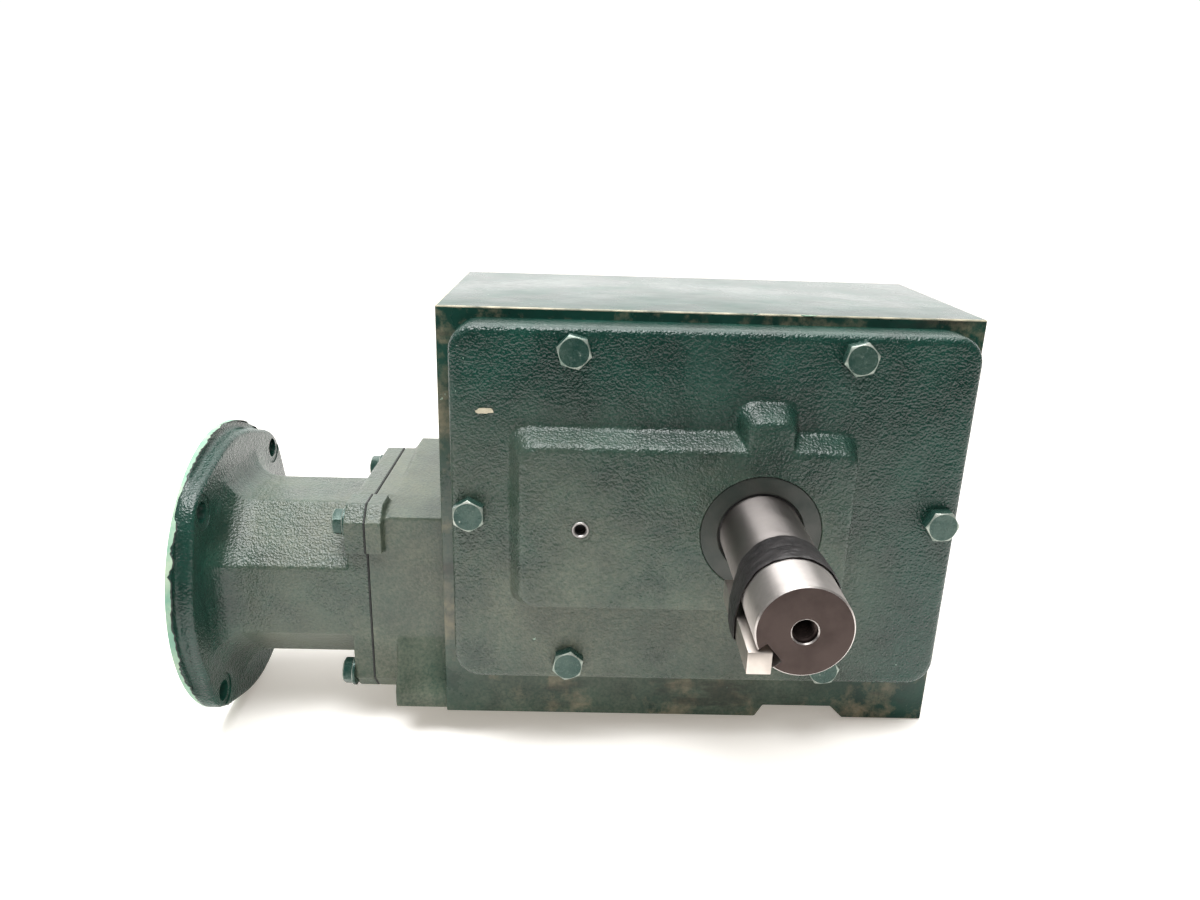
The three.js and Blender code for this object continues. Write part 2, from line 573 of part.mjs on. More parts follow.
function inputAdapter() {
  const input = along("X", 0, 0, INPUT_HEIGHT);
  const backFlange = sideSlab(noseShape, ADAPTER_FLANGE_LEFT, JOINT_X - GASKET);
  const lug = sideSlab(boltLug, ADAPTER_FLANGE_LEFT, JOINT_X - GASKET);
  const bores = [
    rod(INPUT_BORES.neck, FLANGE_BACK_X - 1, SEAL_WEB.left - 7, input),
    rod(INPUT_BORES.seal, SEAL_WEB.left - 8, SEAL_WEB.right, input),
    rod(clearOf(INPUT_HEAD_BEARING.outer), INPUT_HEAD_AT - 0.3, INPUT_HEAD_AT + 17, input),
    rod(INPUT_BORES.chamber, INPUT_HEAD_AT + 16.5, JOINT_X, input),
    rod(INPUT_BORES.web, SEAL_WEB.right - 1, INPUT_HEAD_AT, input),
  ];
  const boltHoles = adapterBoltPlaces.map(({ y, z }) =>
    rod(ADAPTER_BOLT.clear, ADAPTER_FLANGE_LEFT - 1, JOINT_X, along("X", 0, y, z), SMALL_HOLE),
  );
  return cut(join(adapterNeck(), backFlange, lug), ...bores, ...boltHoles);
}

function adapterGasket() {
  const sheet = sideSlab(noseShape, JOINT_X - GASKET, JOINT_X);
  const lug = sideSlab(boltLug, JOINT_X - GASKET, JOINT_X);
  const window = rod(INPUT_BORES.nose, JOINT_X - 2, JOINT_X + 1, along("X", 0, 0, INPUT_HEIGHT));
  const holes = adapterBoltPlaces.map(({ y, z }) =>
    rod(ADAPTER_BOLT.clear, JOINT_X - 2, JOINT_X + 1, along("X", 0, y, z), SMALL_HOLE),
  );
  return cut(join(sheet, lug), window, ...holes);
}

// A hub with four arms, bolted to the posts of the case. It holds the head of the bevel pinion shaft.
function pinionCarrier() {
  const hub = rod(CARRIER.hub, CARRIER.left, CARRIER.right, along("X", 0, 0, SHAFT_HEIGHT));
  const reach = CARRIER.spread * Math.SQRT2;
  const arms = [1, -1].map((lean) => {
    const arm = new THREE.BoxGeometry(CARRIER.right - CARRIER.left, reach * 2, 15);
    arm.rotateX((lean * Math.PI) / 4).translate((CARRIER.left + CARRIER.right) / 2, 0, SHAFT_HEIGHT);
    return toSolid(arm);
  });
  const pads = carrierBoltPlaces.map(({ y, z }) =>
    rod(7.5, CARRIER.left, CARRIER.right, along("X", 0, y, z), 12),
  );
  const middle = along("X", 0, 0, SHAFT_HEIGHT);
  const bearingBore = rod(clearOf(BEVEL_HEAD_BEARING.outer), CARRIER.left - 1, CARRIER.right + 2, middle);
  const boltHoles = carrierBoltPlaces.map(({ y, z }) =>
    rod(CARRIER_BOLT.clear, CARRIER.left - 1, CARRIER.right + 1, along("X", 0, y, z), SMALL_HOLE),
  );
  return cut(join(hub, ...arms, ...pads), bearingBore, ...boltHoles);
}

// ---------------------------------------------------------------- assembly
const reducer = new THREE.Group();

function addPiece(parent, name, solid, material) {
  const mesh = new THREE.Mesh(toGeometry(solid), material());
  mesh.name = name;
  parent.add(mesh);
}

function addTrain(x, z) {
  const train = new THREE.Group();
  train.position.set(x, 0, z);
  reducer.add(train);
  return train;
}

function addBearing(train, name, spec, axis, start, opens) {
  const { cup, cone } = taperedBearing(spec, axis, start, opens);
  addPiece(train, name + "_cup", cup, toughSteel);
  addPiece(train, name + "_cone", cone, toughSteel);
}

function addCase() {
  addPiece(reducer, "gear_case", gearCase(), greenEnamel);
  addPiece(reducer, "front_cover", frontCover(), greenEnamel);
  addPiece(reducer, "cover_gasket", coverGasket(), gasketPaper);
  coverBoltPlaces.forEach(({ x, z }, i) =>
    addPiece(reducer, `cover_bolt_${i + 1}`, hexBolt(COVER_BOLT, along("Y", x, COVER_FRONT, z)), paintedBolt),
  );
  Object.entries(plugPlaces).forEach(([name, z]) => {
    const inward = along("X").multiply(new THREE.Matrix4().makeRotationX(Math.PI));
    inward.setPosition(CASE_RIGHT + 2, PLUG_Y, z);
    addPiece(reducer, name, pipePlug(PLUG_RADIUS, 12, inward), plugBrass);
  });
  const capSeats = { output_rear_cap: [OUTPUT_X, OUTPUT_BEARING], cross_rear_cap: [CROSS_X, CROSS_BEARING] };
  Object.entries(capSeats).forEach(([name, [x, bearing]]) => {
    const seat = along("Y", x, 0, SHAFT_HEIGHT);
    addPiece(reducer, name, rod(bearing.outer, CASE_BACK - 5.5, CASE_BACK - 1, seat), greenEnamel);
  });
}

function addAdapter() {
  addPiece(reducer, "motor_flange", motorFlange(), greenEnamel);
  addPiece(reducer, "input_adapter", inputAdapter(), greenEnamel);
  addPiece(reducer, "adapter_gasket", adapterGasket(), gasketPaper);
  adapterBoltPlaces.forEach(({ y, z }, i) => {
    const bolt = hexBolt(ADAPTER_BOLT, along("X", ADAPTER_FLANGE_LEFT, y, z));
    addPiece(reducer, `adapter_bolt_${i + 1}`, bolt, paintedBolt);
  });
  addPiece(reducer, "pinion_carrier", pinionCarrier(), rawIron);
  carrierBoltPlaces.forEach(({ y, z }, i) => {
    const inward = along("X").multiply(new THREE.Matrix4().makeRotationX(Math.PI));
    inward.setPosition(CARRIER.right, y, z);
    addPiece(reducer, `carrier_bolt_${i + 1}`, hexBolt(CARRIER_BOLT, inward), toughSteel);
  });
}

// Corner of the loose key that rests in the keyway, its sides parallel to X and Z.
function looseKeyCorner() {
  const [u, v] = [Math.cos(KEYWAY_ANGLE), Math.sin(KEYWAY_ANGLE)];
  const [depth, shift] = [KEYWAY_FLOOR + 0.4, 0.7];
  return new THREE.Vector2(depth * u + shift * v, depth * v - shift * u);
}

function outputShaft() {
  const onAxis = along("Y");
  const profile = [
    [0, SHAFT_FRONT], [SHAFT_RADIUS - 1.2, SHAFT_FRONT], [SHAFT_RADIUS, SHAFT_FRONT + 1.2],
    [SHAFT_RADIUS, OUTPUT_FRONT_AT + 18.3], [23.5, OUTPUT_FRONT_AT + 18.3], [23.5, FINAL_GEARS.front - 0.3],
    [OUTPUT_GEAR_SEAT, FINAL_GEARS.front - 0.3], [OUTPUT_GEAR_SEAT, FINAL_GEARS.back + 0.3],
    [SHAFT_RADIUS, FINAL_GEARS.back + 0.3], [SHAFT_RADIUS, 55], [0, 55],
  ];
  const keyway = new THREE.BoxGeometry(10, KEY_LENGTH + 5, KEY_SIDE + 0.2);
  keyway.translate(KEYWAY_FLOOR + 5, SHAFT_FRONT + (KEY_LENGTH + 5) / 2 - 1, 0).rotateY(-KEYWAY_ANGLE);
  const centreHole = [
    [0, SHAFT_FRONT - 1], [6.8, SHAFT_FRONT - 1], [4.8, SHAFT_FRONT + 1],
    [4.8, SHAFT_FRONT + 22], [0, SHAFT_FRONT + 24],
  ];
  const [keyFront, keyBack] = [FINAL_GEARS.front + 1, FINAL_GEARS.back - 1];
  const gearKeyway = squareKey("Y", OUTPUT_GEAR_KEY, OUTPUT_GEAR_SEAT, keyFront, keyBack, 0.1);
  return cut(turned(profile, onAxis, 36), toSolid(keyway), turned(centreHole, onAxis, 16), gearKeyway);
}

function outputGear() {
  const twist = Math.tan(FINAL_HELIX) / pitchRadius(FINAL_MODULE, FINAL_GEAR_TEETH);
  const teeth = cylindricalTeeth({
    axis: "Y", module: FINAL_MODULE, teeth: FINAL_GEAR_TEETH, steps: 1,
    from: FINAL_GEARS.front, to: FINAL_GEARS.back, slices: 1,
    phase: Math.PI + Math.PI / FINAL_GEAR_TEETH, twist: -twist,
  });
  const onAxis = along("Y");
  const recess = (from, to) => turned([[31, from], [53, from], [53, to], [31, to]], onAxis);
  return cut(
    teeth,
    rod(clearOf(OUTPUT_GEAR_SEAT), FINAL_GEARS.front - 1, FINAL_GEARS.back + 1, onAxis),
    squareKey("Y", OUTPUT_GEAR_KEY, OUTPUT_GEAR_SEAT, FINAL_GEARS.front - 1, FINAL_GEARS.back + 1, 0.2),
    recess(FINAL_GEARS.front - 1, FINAL_GEARS.front + 8),
    recess(FINAL_GEARS.back - 8, FINAL_GEARS.back + 1),
  );
}

// The space inside a band pulled tight round the shaft and the loose key, grown on all sides.
function wrapped(corner, grow, front, back) {
  const facets = 36;
  const radius = (SHAFT_RADIUS + grow) / Math.cos(Math.PI / facets);
  const [near, far] = [corner.clone().addScalar(grow), corner.clone().subScalar(KEY_SIDE + grow)];
  const points = [front, back].flatMap((y) => [
    ...Array.from({ length: facets }, (_, i) => aroundShaft("Y", radius, (i * 2 * Math.PI) / facets, y)),
    new THREE.Vector3(far.x, y, far.y),
    new THREE.Vector3(far.x, y, near.y),
    new THREE.Vector3(near.x, y, far.y),
  ]);
  return toSolid(new ConvexGeometry(points));
}

const TAPE = { front: -159, back: -137, thickness: 1.2 };

function addOutputTrain() {
  const train = addTrain(OUTPUT_X, SHAFT_HEIGHT);
  const onAxis = along("Y");
  const corner = looseKeyCorner();
  const key = block(
    [corner.x - KEY_SIDE, SHAFT_FRONT - 0.6, corner.y - KEY_SIDE],
    [corner.x, SHAFT_FRONT - 0.6 + KEY_LENGTH, corner.y],
  );
  const [keyFront, keyBack] = [FINAL_GEARS.front + 1.5, FINAL_GEARS.back - 1.5];
  const gearKey = squareKey("Y", OUTPUT_GEAR_KEY, OUTPUT_GEAR_SEAT, keyFront, keyBack);
  const outside = wrapped(corner, FREE + TAPE.thickness, TAPE.front, TAPE.back);
  const inside = wrapped(corner, FREE, TAPE.front - 1, TAPE.back + 1);
  const sealProfile = [
    [clearOf(SHAFT_RADIUS), OUTPUT_FRONT_AT - 2.2], [clearOf(SHAFT_RADIUS), PAD_FRONT + 0.4],
    [SEAL_RADIUS - FREE, PAD_FRONT + 0.4], [SEAL_RADIUS - FREE, OUTPUT_FRONT_AT - 2.2],
  ];
  const spacer = [
    [clearOf(SHAFT_RADIUS), FINAL_GEARS.back + 0.3], [25, FINAL_GEARS.back + 0.3],
    [25, OUTPUT_REAR_AT - 0.3], [clearOf(SHAFT_RADIUS), OUTPUT_REAR_AT - 0.3],
  ];
  addPiece(train, "output_shaft", outputShaft(), groundSteel);
  addPiece(train, "output_gear", outputGear(), toughSteel);
  addPiece(train, "output_gear_key", gearKey, toughSteel);
  addPiece(train, "output_spacer", turned(spacer, onAxis), toughSteel);
  addPiece(train, "output_key", key, groundSteel);
  addPiece(train, "key_retaining_tape", cut(outside, inside), blackTape);
  addPiece(train, "output_seal", turned(sealProfile, onAxis, 36), sealCase);
  addBearing(train, "output_front_bearing", OUTPUT_BEARING, "Y", OUTPUT_FRONT_AT, -1);
  addBearing(train, "output_rear_bearing", OUTPUT_BEARING, "Y", OUTPUT_REAR_AT, 1);
}

// The cross shaft carries the third-stage pinion, cut in one piece with it, and the bevel gear.
function crossShaft() {
  const { bore } = CROSS_BEARING;
  const profile = [
    [0, CROSS_FRONT_AT], [bore, CROSS_FRONT_AT], [bore, CROSS_FRONT_AT + 15.3], [15, CROSS_FRONT_AT + 15.3],
    [15, COLLAR_FACE], [bore, COLLAR_FACE], [bore, CROSS_REAR_AT + 15], [0, CROSS_REAR_AT + 15],
  ];
  const teeth = cylindricalTeeth({
    axis: "Y", module: FINAL_MODULE, teeth: FINAL_PINION_TEETH, steps: 2,
    from: FINAL_GEARS.front, to: FINAL_GEARS.back, slices: 2,
    phase: 0, twist: Math.tan(FINAL_HELIX) / pitchRadius(FINAL_MODULE, FINAL_PINION_TEETH),
  });
  const keyway = squareKey("Y", STAGE_KEY, CROSS_BEARING.bore, COLLAR_FACE + 5, BEVEL_HUB_BACK - 1, 0.1);
  return join(turned(profile, along("Y")), teeth).subtract(keyway);
}

function bevelGear() {
  const onAxis = along("Y");
  const teeth = bevelTeeth({
    axis: "Y", teeth: BEVEL_GEAR_TEETH, mateTeeth: BEVEL_PINION_TEETH, steps: 1,
    direction: 1, phase: Math.PI + Math.PI / BEVEL_GEAR_TEETH,
  });
  const hub = turned([[0, 17], [15, 17], [15, BEVEL_HUB_BACK], [0, BEVEL_HUB_BACK]], onAxis);
  return cut(
    join(teeth, hub),
    rod(clearOf(CROSS_BEARING.bore), 0, BEVEL_HUB_BACK + 1, onAxis),
    squareKey("Y", STAGE_KEY, CROSS_BEARING.bore, 0, BEVEL_HUB_BACK + 1, 0.2),
  );
}

function addCrossTrain() {
  const train = addTrain(CROSS_X, SHAFT_HEIGHT);
  const gearKey = squareKey("Y", STAGE_KEY, CROSS_BEARING.bore, COLLAR_FACE + 5.5, BEVEL_HUB_BACK - 1.5);
  addPiece(train, "cross_shaft", crossShaft(), toughSteel);
  addPiece(train, "bevel_gear", bevelGear(), toughSteel);
  addPiece(train, "bevel_gear_key", gearKey, toughSteel);
  addBearing(train, "cross_front_bearing", CROSS_BEARING, "Y", CROSS_FRONT_AT, -1);
  addBearing(train, "cross_rear_bearing", CROSS_BEARING, "Y", CROSS_REAR_AT, 1);
}

// The bevel pinion is cut in one piece with its shaft. Distances run from the crossing of the axes.
function bevelPinionShaft() {
  const [tail, head] = [BEVEL_TAIL_AT - CROSS_X, BEVEL_HEAD_AT - CROSS_X];
  const [gearLeft, gearRight] = [FIRST_GEARS.left - CROSS_X, FIRST_GEARS.right - CROSS_X];
  const profile = [
    [0, tail], [10, tail], [10, gearLeft - 0.6], [FIRST_GEAR_SEAT, gearLeft - 0.6],
    [FIRST_GEAR_SEAT, gearRight + 0.6], [12.5, gearRight + 0.6], [12.5, head + 11.8],
    [13.5, head + 11.8], [13.5, -27], [0, -27],
  ];
  const teeth = bevelTeeth({
    axis: "X", teeth: BEVEL_PINION_TEETH, mateTeeth: BEVEL_GEAR_TEETH, steps: 2, direction: -1, phase: 0,
  });
  const keyway = squareKey("X", STAGE_KEY, FIRST_GEAR_SEAT, gearLeft + 1, gearRight - 1, 0.1);
  return join(turned(profile, along("X")), teeth).subtract(keyway);
}

const INPUT_GEAR_SIDE = -Math.PI / 2; // the input pinion lies straight below the first-stage gear

function firstStageGear() {
  const [left, right] = [FIRST_GEARS.left - CROSS_X, FIRST_GEARS.right - CROSS_X];
  const teeth = cylindricalTeeth({
    axis: "X", module: FIRST_MODULE, teeth: FIRST_GEAR_TEETH, steps: 1,
    from: left, to: right, slices: 1, phase: INPUT_GEAR_SIDE, twist: 0,
  });
  return cut(
    teeth,
    rod(clearOf(FIRST_GEAR_SEAT), left - 1, right + 1, along("X")),
    squareKey("X", STAGE_KEY, FIRST_GEAR_SEAT, left - 1, right + 1, 0.2),
  );
}

function addBevelPinionTrain() {
  const train = addTrain(CROSS_X, SHAFT_HEIGHT);
  const [left, right] = [FIRST_GEARS.left - CROSS_X, FIRST_GEARS.right - CROSS_X];
  const gearKey = squareKey("X", STAGE_KEY, FIRST_GEAR_SEAT, left + 1.5, right - 1.5);
  addPiece(train, "bevel_pinion_shaft", bevelPinionShaft(), toughSteel);
  addPiece(train, "first_stage_gear", firstStageGear(), toughSteel);
  addPiece(train, "first_stage_gear_key", gearKey, toughSteel);
  addBearing(train, "bevel_pinion_tail_bearing", BEVEL_TAIL_BEARING, "X", BEVEL_TAIL_AT - CROSS_X, -1);
  addBearing(train, "bevel_pinion_head_bearing", BEVEL_HEAD_BEARING, "X", BEVEL_HEAD_AT - CROSS_X, 1);
}

// A hollow shaft that takes the motor shaft and its key at the motor end.
function inputShaft() {
  const profile = [
    [0, QUILL_FRONT], [14, QUILL_FRONT], [15, QUILL_FRONT + 1], [15, INPUT_HEAD_AT + 16.3],
    [18, INPUT_HEAD_AT + 16.3], [18, INPUT_TAIL_AT - 4], [12.5, INPUT_TAIL_AT - 0.4],
    [12.5, INPUT_TAIL_AT + 15.3], [PINION_SEAT, INPUT_TAIL_AT + 15.3],
    [PINION_SEAT, FIRST_GEARS.right + 2], [0, FIRST_GEARS.right + 2],
  ];
  const onAxis = along("X");
  const bore = rod(QUILL_BORE, QUILL_FRONT - 1, QUILL_FRONT + QUILL_DEPTH, onAxis);
  const boreKeyway = block([QUILL_FRONT - 1, -2.4, 0], [QUILL_FRONT + QUILL_DEPTH, 2.4, QUILL_BORE + 2.3]);
  const [keyLeft, keyRight] = [FIRST_GEARS.left + 1, FIRST_GEARS.right - 1];
  const pinionKeyway = squareKey("X", PINION_KEY, PINION_SEAT, keyLeft, keyRight, 0.1);
  return cut(turned(profile, onAxis), bore, boreKeyway, pinionKeyway);
}

function inputPinion() {
  const { left, right } = FIRST_GEARS;
  const teeth = cylindricalTeeth({
    axis: "X", module: FIRST_MODULE, teeth: FIRST_PINION_TEETH, steps: 2,
    from: left, to: right, slices: 1, phase: -INPUT_GEAR_SIDE + Math.PI / FIRST_PINION_TEETH, twist: 0,
  });
  return cut(
    teeth,
    rod(clearOf(PINION_SEAT), left - 1, right + 1, along("X")),
    squareKey("X", PINION_KEY, PINION_SEAT, left - 1, right + 1, 0.2),
  );
}

function addInputTrain() {
  const train = addTrain(0, INPUT_HEIGHT);
  const { left, right } = FIRST_GEARS;
  const sealProfile = [
    [clearOf(15), SEAL_WEB.left - 6], [22, SEAL_WEB.left - 6],
    [22, SEAL_WEB.right - 0.5], [clearOf(15), SEAL_WEB.right - 0.5],
  ];
  addPiece(train, "input_shaft", inputShaft(), toughSteel);
  addPiece(train, "input_pinion", inputPinion(), toughSteel);
  const pinionKey = squareKey("X", PINION_KEY, PINION_SEAT, left + 1.5, right - 1.5);
  addPiece(train, "input_pinion_key", pinionKey, toughSteel);
  addPiece(train, "input_seal", turned(sealProfile, along("X")), sealCase);
  addBearing(train, "input_head_bearing", INPUT_HEAD_BEARING, "X", INPUT_HEAD_AT, -1);
  addBearing(train, "input_tail_bearing", INPUT_TAIL_BEARING, "X", INPUT_TAIL_AT, 1);
}

addCase();
addAdapter();
addOutputTrain();
addCrossTrain();
addBevelPinionTrain();
addInputTrain();

export default reducer;
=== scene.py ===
# Right-angle gear reducer: the visible castings, shaft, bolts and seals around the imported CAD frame.
import math
import random

import bmesh
import bpy
from mathutils import Matrix, Vector, noise
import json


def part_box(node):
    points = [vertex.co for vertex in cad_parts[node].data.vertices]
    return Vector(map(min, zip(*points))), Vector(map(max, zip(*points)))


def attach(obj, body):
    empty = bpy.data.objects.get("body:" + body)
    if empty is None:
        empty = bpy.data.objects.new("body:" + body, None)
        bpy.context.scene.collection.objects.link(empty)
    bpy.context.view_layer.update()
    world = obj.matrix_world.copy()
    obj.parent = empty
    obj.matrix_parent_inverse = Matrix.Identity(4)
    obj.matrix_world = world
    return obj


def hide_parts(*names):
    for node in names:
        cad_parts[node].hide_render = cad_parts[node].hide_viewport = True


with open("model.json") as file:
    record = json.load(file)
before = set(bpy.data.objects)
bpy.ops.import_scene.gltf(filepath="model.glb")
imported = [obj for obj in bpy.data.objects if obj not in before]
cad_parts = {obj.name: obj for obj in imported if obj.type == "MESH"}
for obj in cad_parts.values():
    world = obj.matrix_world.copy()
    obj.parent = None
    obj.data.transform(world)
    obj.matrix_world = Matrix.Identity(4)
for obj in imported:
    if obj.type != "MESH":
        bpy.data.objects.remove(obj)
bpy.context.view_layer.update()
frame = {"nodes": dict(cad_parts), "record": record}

# Sizes in this file are in millimetres, and MM turns them into Blender's metres.
MM = 0.001


def span(node):
    low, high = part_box(node)
    return Vector(low) / MM, Vector(high) / MM


def centre(node):
    low, high = span(node)
    return (low + high) / 2


# ------------------------------------------------------------------ places taken from the frame
CASE_LOW, CASE_HIGH = span("gear_case")
CASE_RIGHT, CASE_TOP = CASE_HIGH.x, CASE_HIGH.z
CASE_LEFT = -CASE_RIGHT
CASE_FRONT, CASE_BACK = CASE_LOW.y, CASE_HIGH.y
JOINT_X = CASE_LOW.x
COVER_LOW, COVER_HIGH = span("front_cover")
PAD_FRONT, COVER_BACK = COVER_LOW.y, COVER_HIGH.y
COVER_BOLT_FLATS, COVER_BOLT_HEAD = 14.3, 6.2
COVER_FRONT = span("cover_bolt_1")[0].y + COVER_BOLT_HEAD
SHAFT_FRONT = span("output_shaft")[0].y
SHAFT_AXIS = centre("output_seal")
SHAFT_RADIUS = 19.05
SEAL_LOW, SEAL_HIGH = span("output_seal")
SEAL_RADIUS = (SEAL_HIGH.x - SEAL_LOW.x) / 2
FLANGE_LOW, FLANGE_HIGH = span("motor_flange")
ADAPTER_JOINT = span("input_adapter")[1].x
INPUT_AXIS = centre("input_seal")
CROSS_AXIS = centre("cross_front_bearing_cup")
RIM_RADIUS = (FLANGE_HIGH.z - FLANGE_LOW.z) / 2
MOTOR_FACE, FLANGE_BACK = FLANGE_LOW.x, FLANGE_HIGH.x
ADAPTER_BOLT_FLATS, ADAPTER_BOLT_HEAD, ADAPTER_BOLT_WASHER = 12.7, 5.4, 1.6
BACK_FLANGE = span("adapter_bolt_1")[0].x + ADAPTER_BOLT_HEAD + ADAPTER_BOLT_WASHER
SHAFT_ORIGIN = (SHAFT_AXIS.x, 0, SHAFT_AXIS.z)
INPUT_ORIGIN = (0, INPUT_AXIS.y, INPUT_AXIS.z)
CROSS_ORIGIN = (CROSS_AXIS.x, 0, CROSS_AXIS.z)
MOTOR_HOLE_REACH = 74.6
REGISTER_RADIUS = 57.15
NECK_FLAT = 46.8
FOOT_LEFT = JOINT_X + 13.5
COVER_CORNER = 13
# How far a cutting tool reaches past the faces that it opens.
PAST = 5


# ------------------------------------------------------------------ mesh helpers
def make_object(name, vertices, faces):
    mesh = bpy.data.meshes.new(name)
    mesh.from_pydata([Vector(v) * MM for v in vertices], [], faces)
    mesh.validate()
    obj = bpy.data.objects.new(name, mesh)
    bpy.context.scene.collection.objects.link(obj)
    return obj


def on_axis(axis, origin, u, v, along):
    """A point at (u, v) across an axis and some way along it, from an origin.

    Across Y, u and v are X and Z. Across X they are Y and Z, and across Z they are X and Y.
    """
    x, y, z = origin
    if axis == "Y":
        return (x + u, y + along, z + v)
    if axis == "X":
        return (x + along, y + u, z + v)
    return (x + u, y + v, z + along)


def face_out(obj):
    """Turns every face of a closed mesh to the outside."""
    work = bmesh.new()
    work.from_mesh(obj.data)
    bmesh.ops.recalc_face_normals(work, faces=work.faces)
    work.to_mesh(obj.data)
    work.free()
    return obj


def loft(name, rings):
    """A closed skin through rings of the same number of points, capped at both ends."""
    count = len(rings[0])
    vertices = [p for ring in rings for p in ring]
    faces = []
    for r in range(len(rings) - 1):
        for i in range(count):
            j = (i + 1) % count
            faces.append((r * count + i, r * count + j, (r + 1) * count + j, (r + 1) * count + i))
    faces.append(tuple(range(count)))
    faces.append(tuple((len(rings) - 1) * count + i for i in range(count)))
    return face_out(make_object(name, vertices, faces))


def circle(radius, segments, phase=0.0):
    steps = [phase + i * 2 * math.pi / segments for i in range(segments)]
    return [(radius * math.cos(a), radius * math.sin(a)) for a in steps]


def rod(name, radius, start, end, axis, origin, segments=64):
    ring = circle(radius, segments)
    return loft(name, [[on_axis(axis, origin, u, v, h) for u, v in ring] for h in (start, end)])


SMALLEST_RADIUS = 1e-4
WELD_DISTANCE = 0.001


def revolve(name, profile, axis, origin, segments=96):
    """A ring or rod turned from a closed profile of (radius, distance along the axis).

    A profile that starts on the axis makes a rod, whose last ring isn't joined to its first.
    """
    rings = len(profile)
    vertices, faces = [], []
    for radius, along in profile:
        ring = circle(max(radius, SMALLEST_RADIUS), segments)
        vertices += [on_axis(axis, origin, u, v, along) for u, v in ring]
    solid = profile[0][0] == 0
    for r in range(rings - (1 if solid else 0)):
        s = (r + 1) % rings
        for i in range(segments):
            j = (i + 1) % segments
            faces.append((r * segments + i, r * segments + j, s * segments + j, s * segments + i))
    obj = make_object(name, vertices, faces)
    weld = obj.modifiers.new("weld", "WELD")
    weld.merge_threshold = WELD_DISTANCE * MM
    return face_out(bake(obj))


def prism(name, outline, axis, start, end, origin=(0, 0, 0)):
    return loft(name, [[on_axis(axis, origin, u, v, h) for u, v in outline] for h in (start, end)])


def rounded(left, right, bottom, top, corner, steps=8):
    """The outline of a rectangle with round corners."""
    middles = [(right - corner, bottom + corner, -90), (right - corner, top - corner, 0),
               (left + corner, top - corner, 90), (left + corner, bottom + corner, 180)]
    outline = []
    for x, z, start in middles:
        for i in range(steps + 1):
            a = math.radians(start + 90 * i / steps)
            outline.append((x + corner * math.cos(a), z + corner * math.sin(a)))
    return outline


def stepped(name, steps):
    """A skin through round-cornered rectangles, each with its Y, its four edges and its corner."""
    return loft(name, [[(x, y, z) for x, z in rounded(*edges, corner)] for y, edges, corner in steps])


def bake(obj):
    """Applies the modifiers of an object to its mesh."""
    graph = bpy.context.evaluated_depsgraph_get()
    mesh = bpy.data.meshes.new_from_object(obj.evaluated_get(graph))
    old = obj.data
    obj.modifiers.clear()
    obj.data = mesh
    bpy.data.meshes.remove(old)
    return obj


def thickened(sheet, thickness):
    """Gives an open sheet a thickness, half on each side."""
    thick = sheet.modifiers.new("thick", "SOLIDIFY")
    thick.thickness = thickness * MM
    thick.offset = 0
    return bake(sheet)


def combine(target, operation, *tools):
    """Joins tools to the target, or cuts them from it, and removes them."""
    for tool in tools:
        step = target.modifiers.new("step", "BOOLEAN")
        step.operation = operation
        step.object = tool
        step.solver = "EXACT"
        step.use_self = False
    bake(target)
    for tool in tools:
        bpy.data.objects.remove(tool)
    return target


def join(target, *tools):
    return combine(target, "UNION", *tools)


def cut(target, *tools):
    return combine(target, "DIFFERENCE", *tools)


def bevelled(obj, width, segments=3, angle=30):
    bevel = obj.modifiers.new("bevel", "BEVEL")
    bevel.width = width * MM
    bevel.segments = segments
    bevel.limit_method = "ANGLE"
    bevel.angle_limit = math.radians(angle)
    bevel.harden_normals = False
    return bake(obj)


def cast_skin(obj, voxel, rounds):
    """Melts the edges of a rough solid into the round corners and fillets of a sand casting."""
    remesh = obj.modifiers.new("remesh", "REMESH")
    remesh.mode = "VOXEL"
    remesh.voxel_size = voxel * MM
    smooth = obj.modifiers.new("smooth", "SMOOTH")
    smooth.factor = 0.5
    smooth.iterations = rounds
    return bake(obj)


def shade(obj, angle=32):
    obj.data.shade_smooth()
    obj.data.set_sharp_from_angle(angle=math.radians(angle))
    return obj


def finish_piece(obj, body, slot, material, *nodes, angle=32):
    """Shades a piece, gives it its material and its body, and hides the CAD nodes that it stands for. The
    slot is not used.
    """
    shade(obj, angle)
    obj.data.materials.clear()
    obj.data.materials.append(material)
    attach(obj, body)
    if nodes:
        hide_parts(*nodes)
    return obj


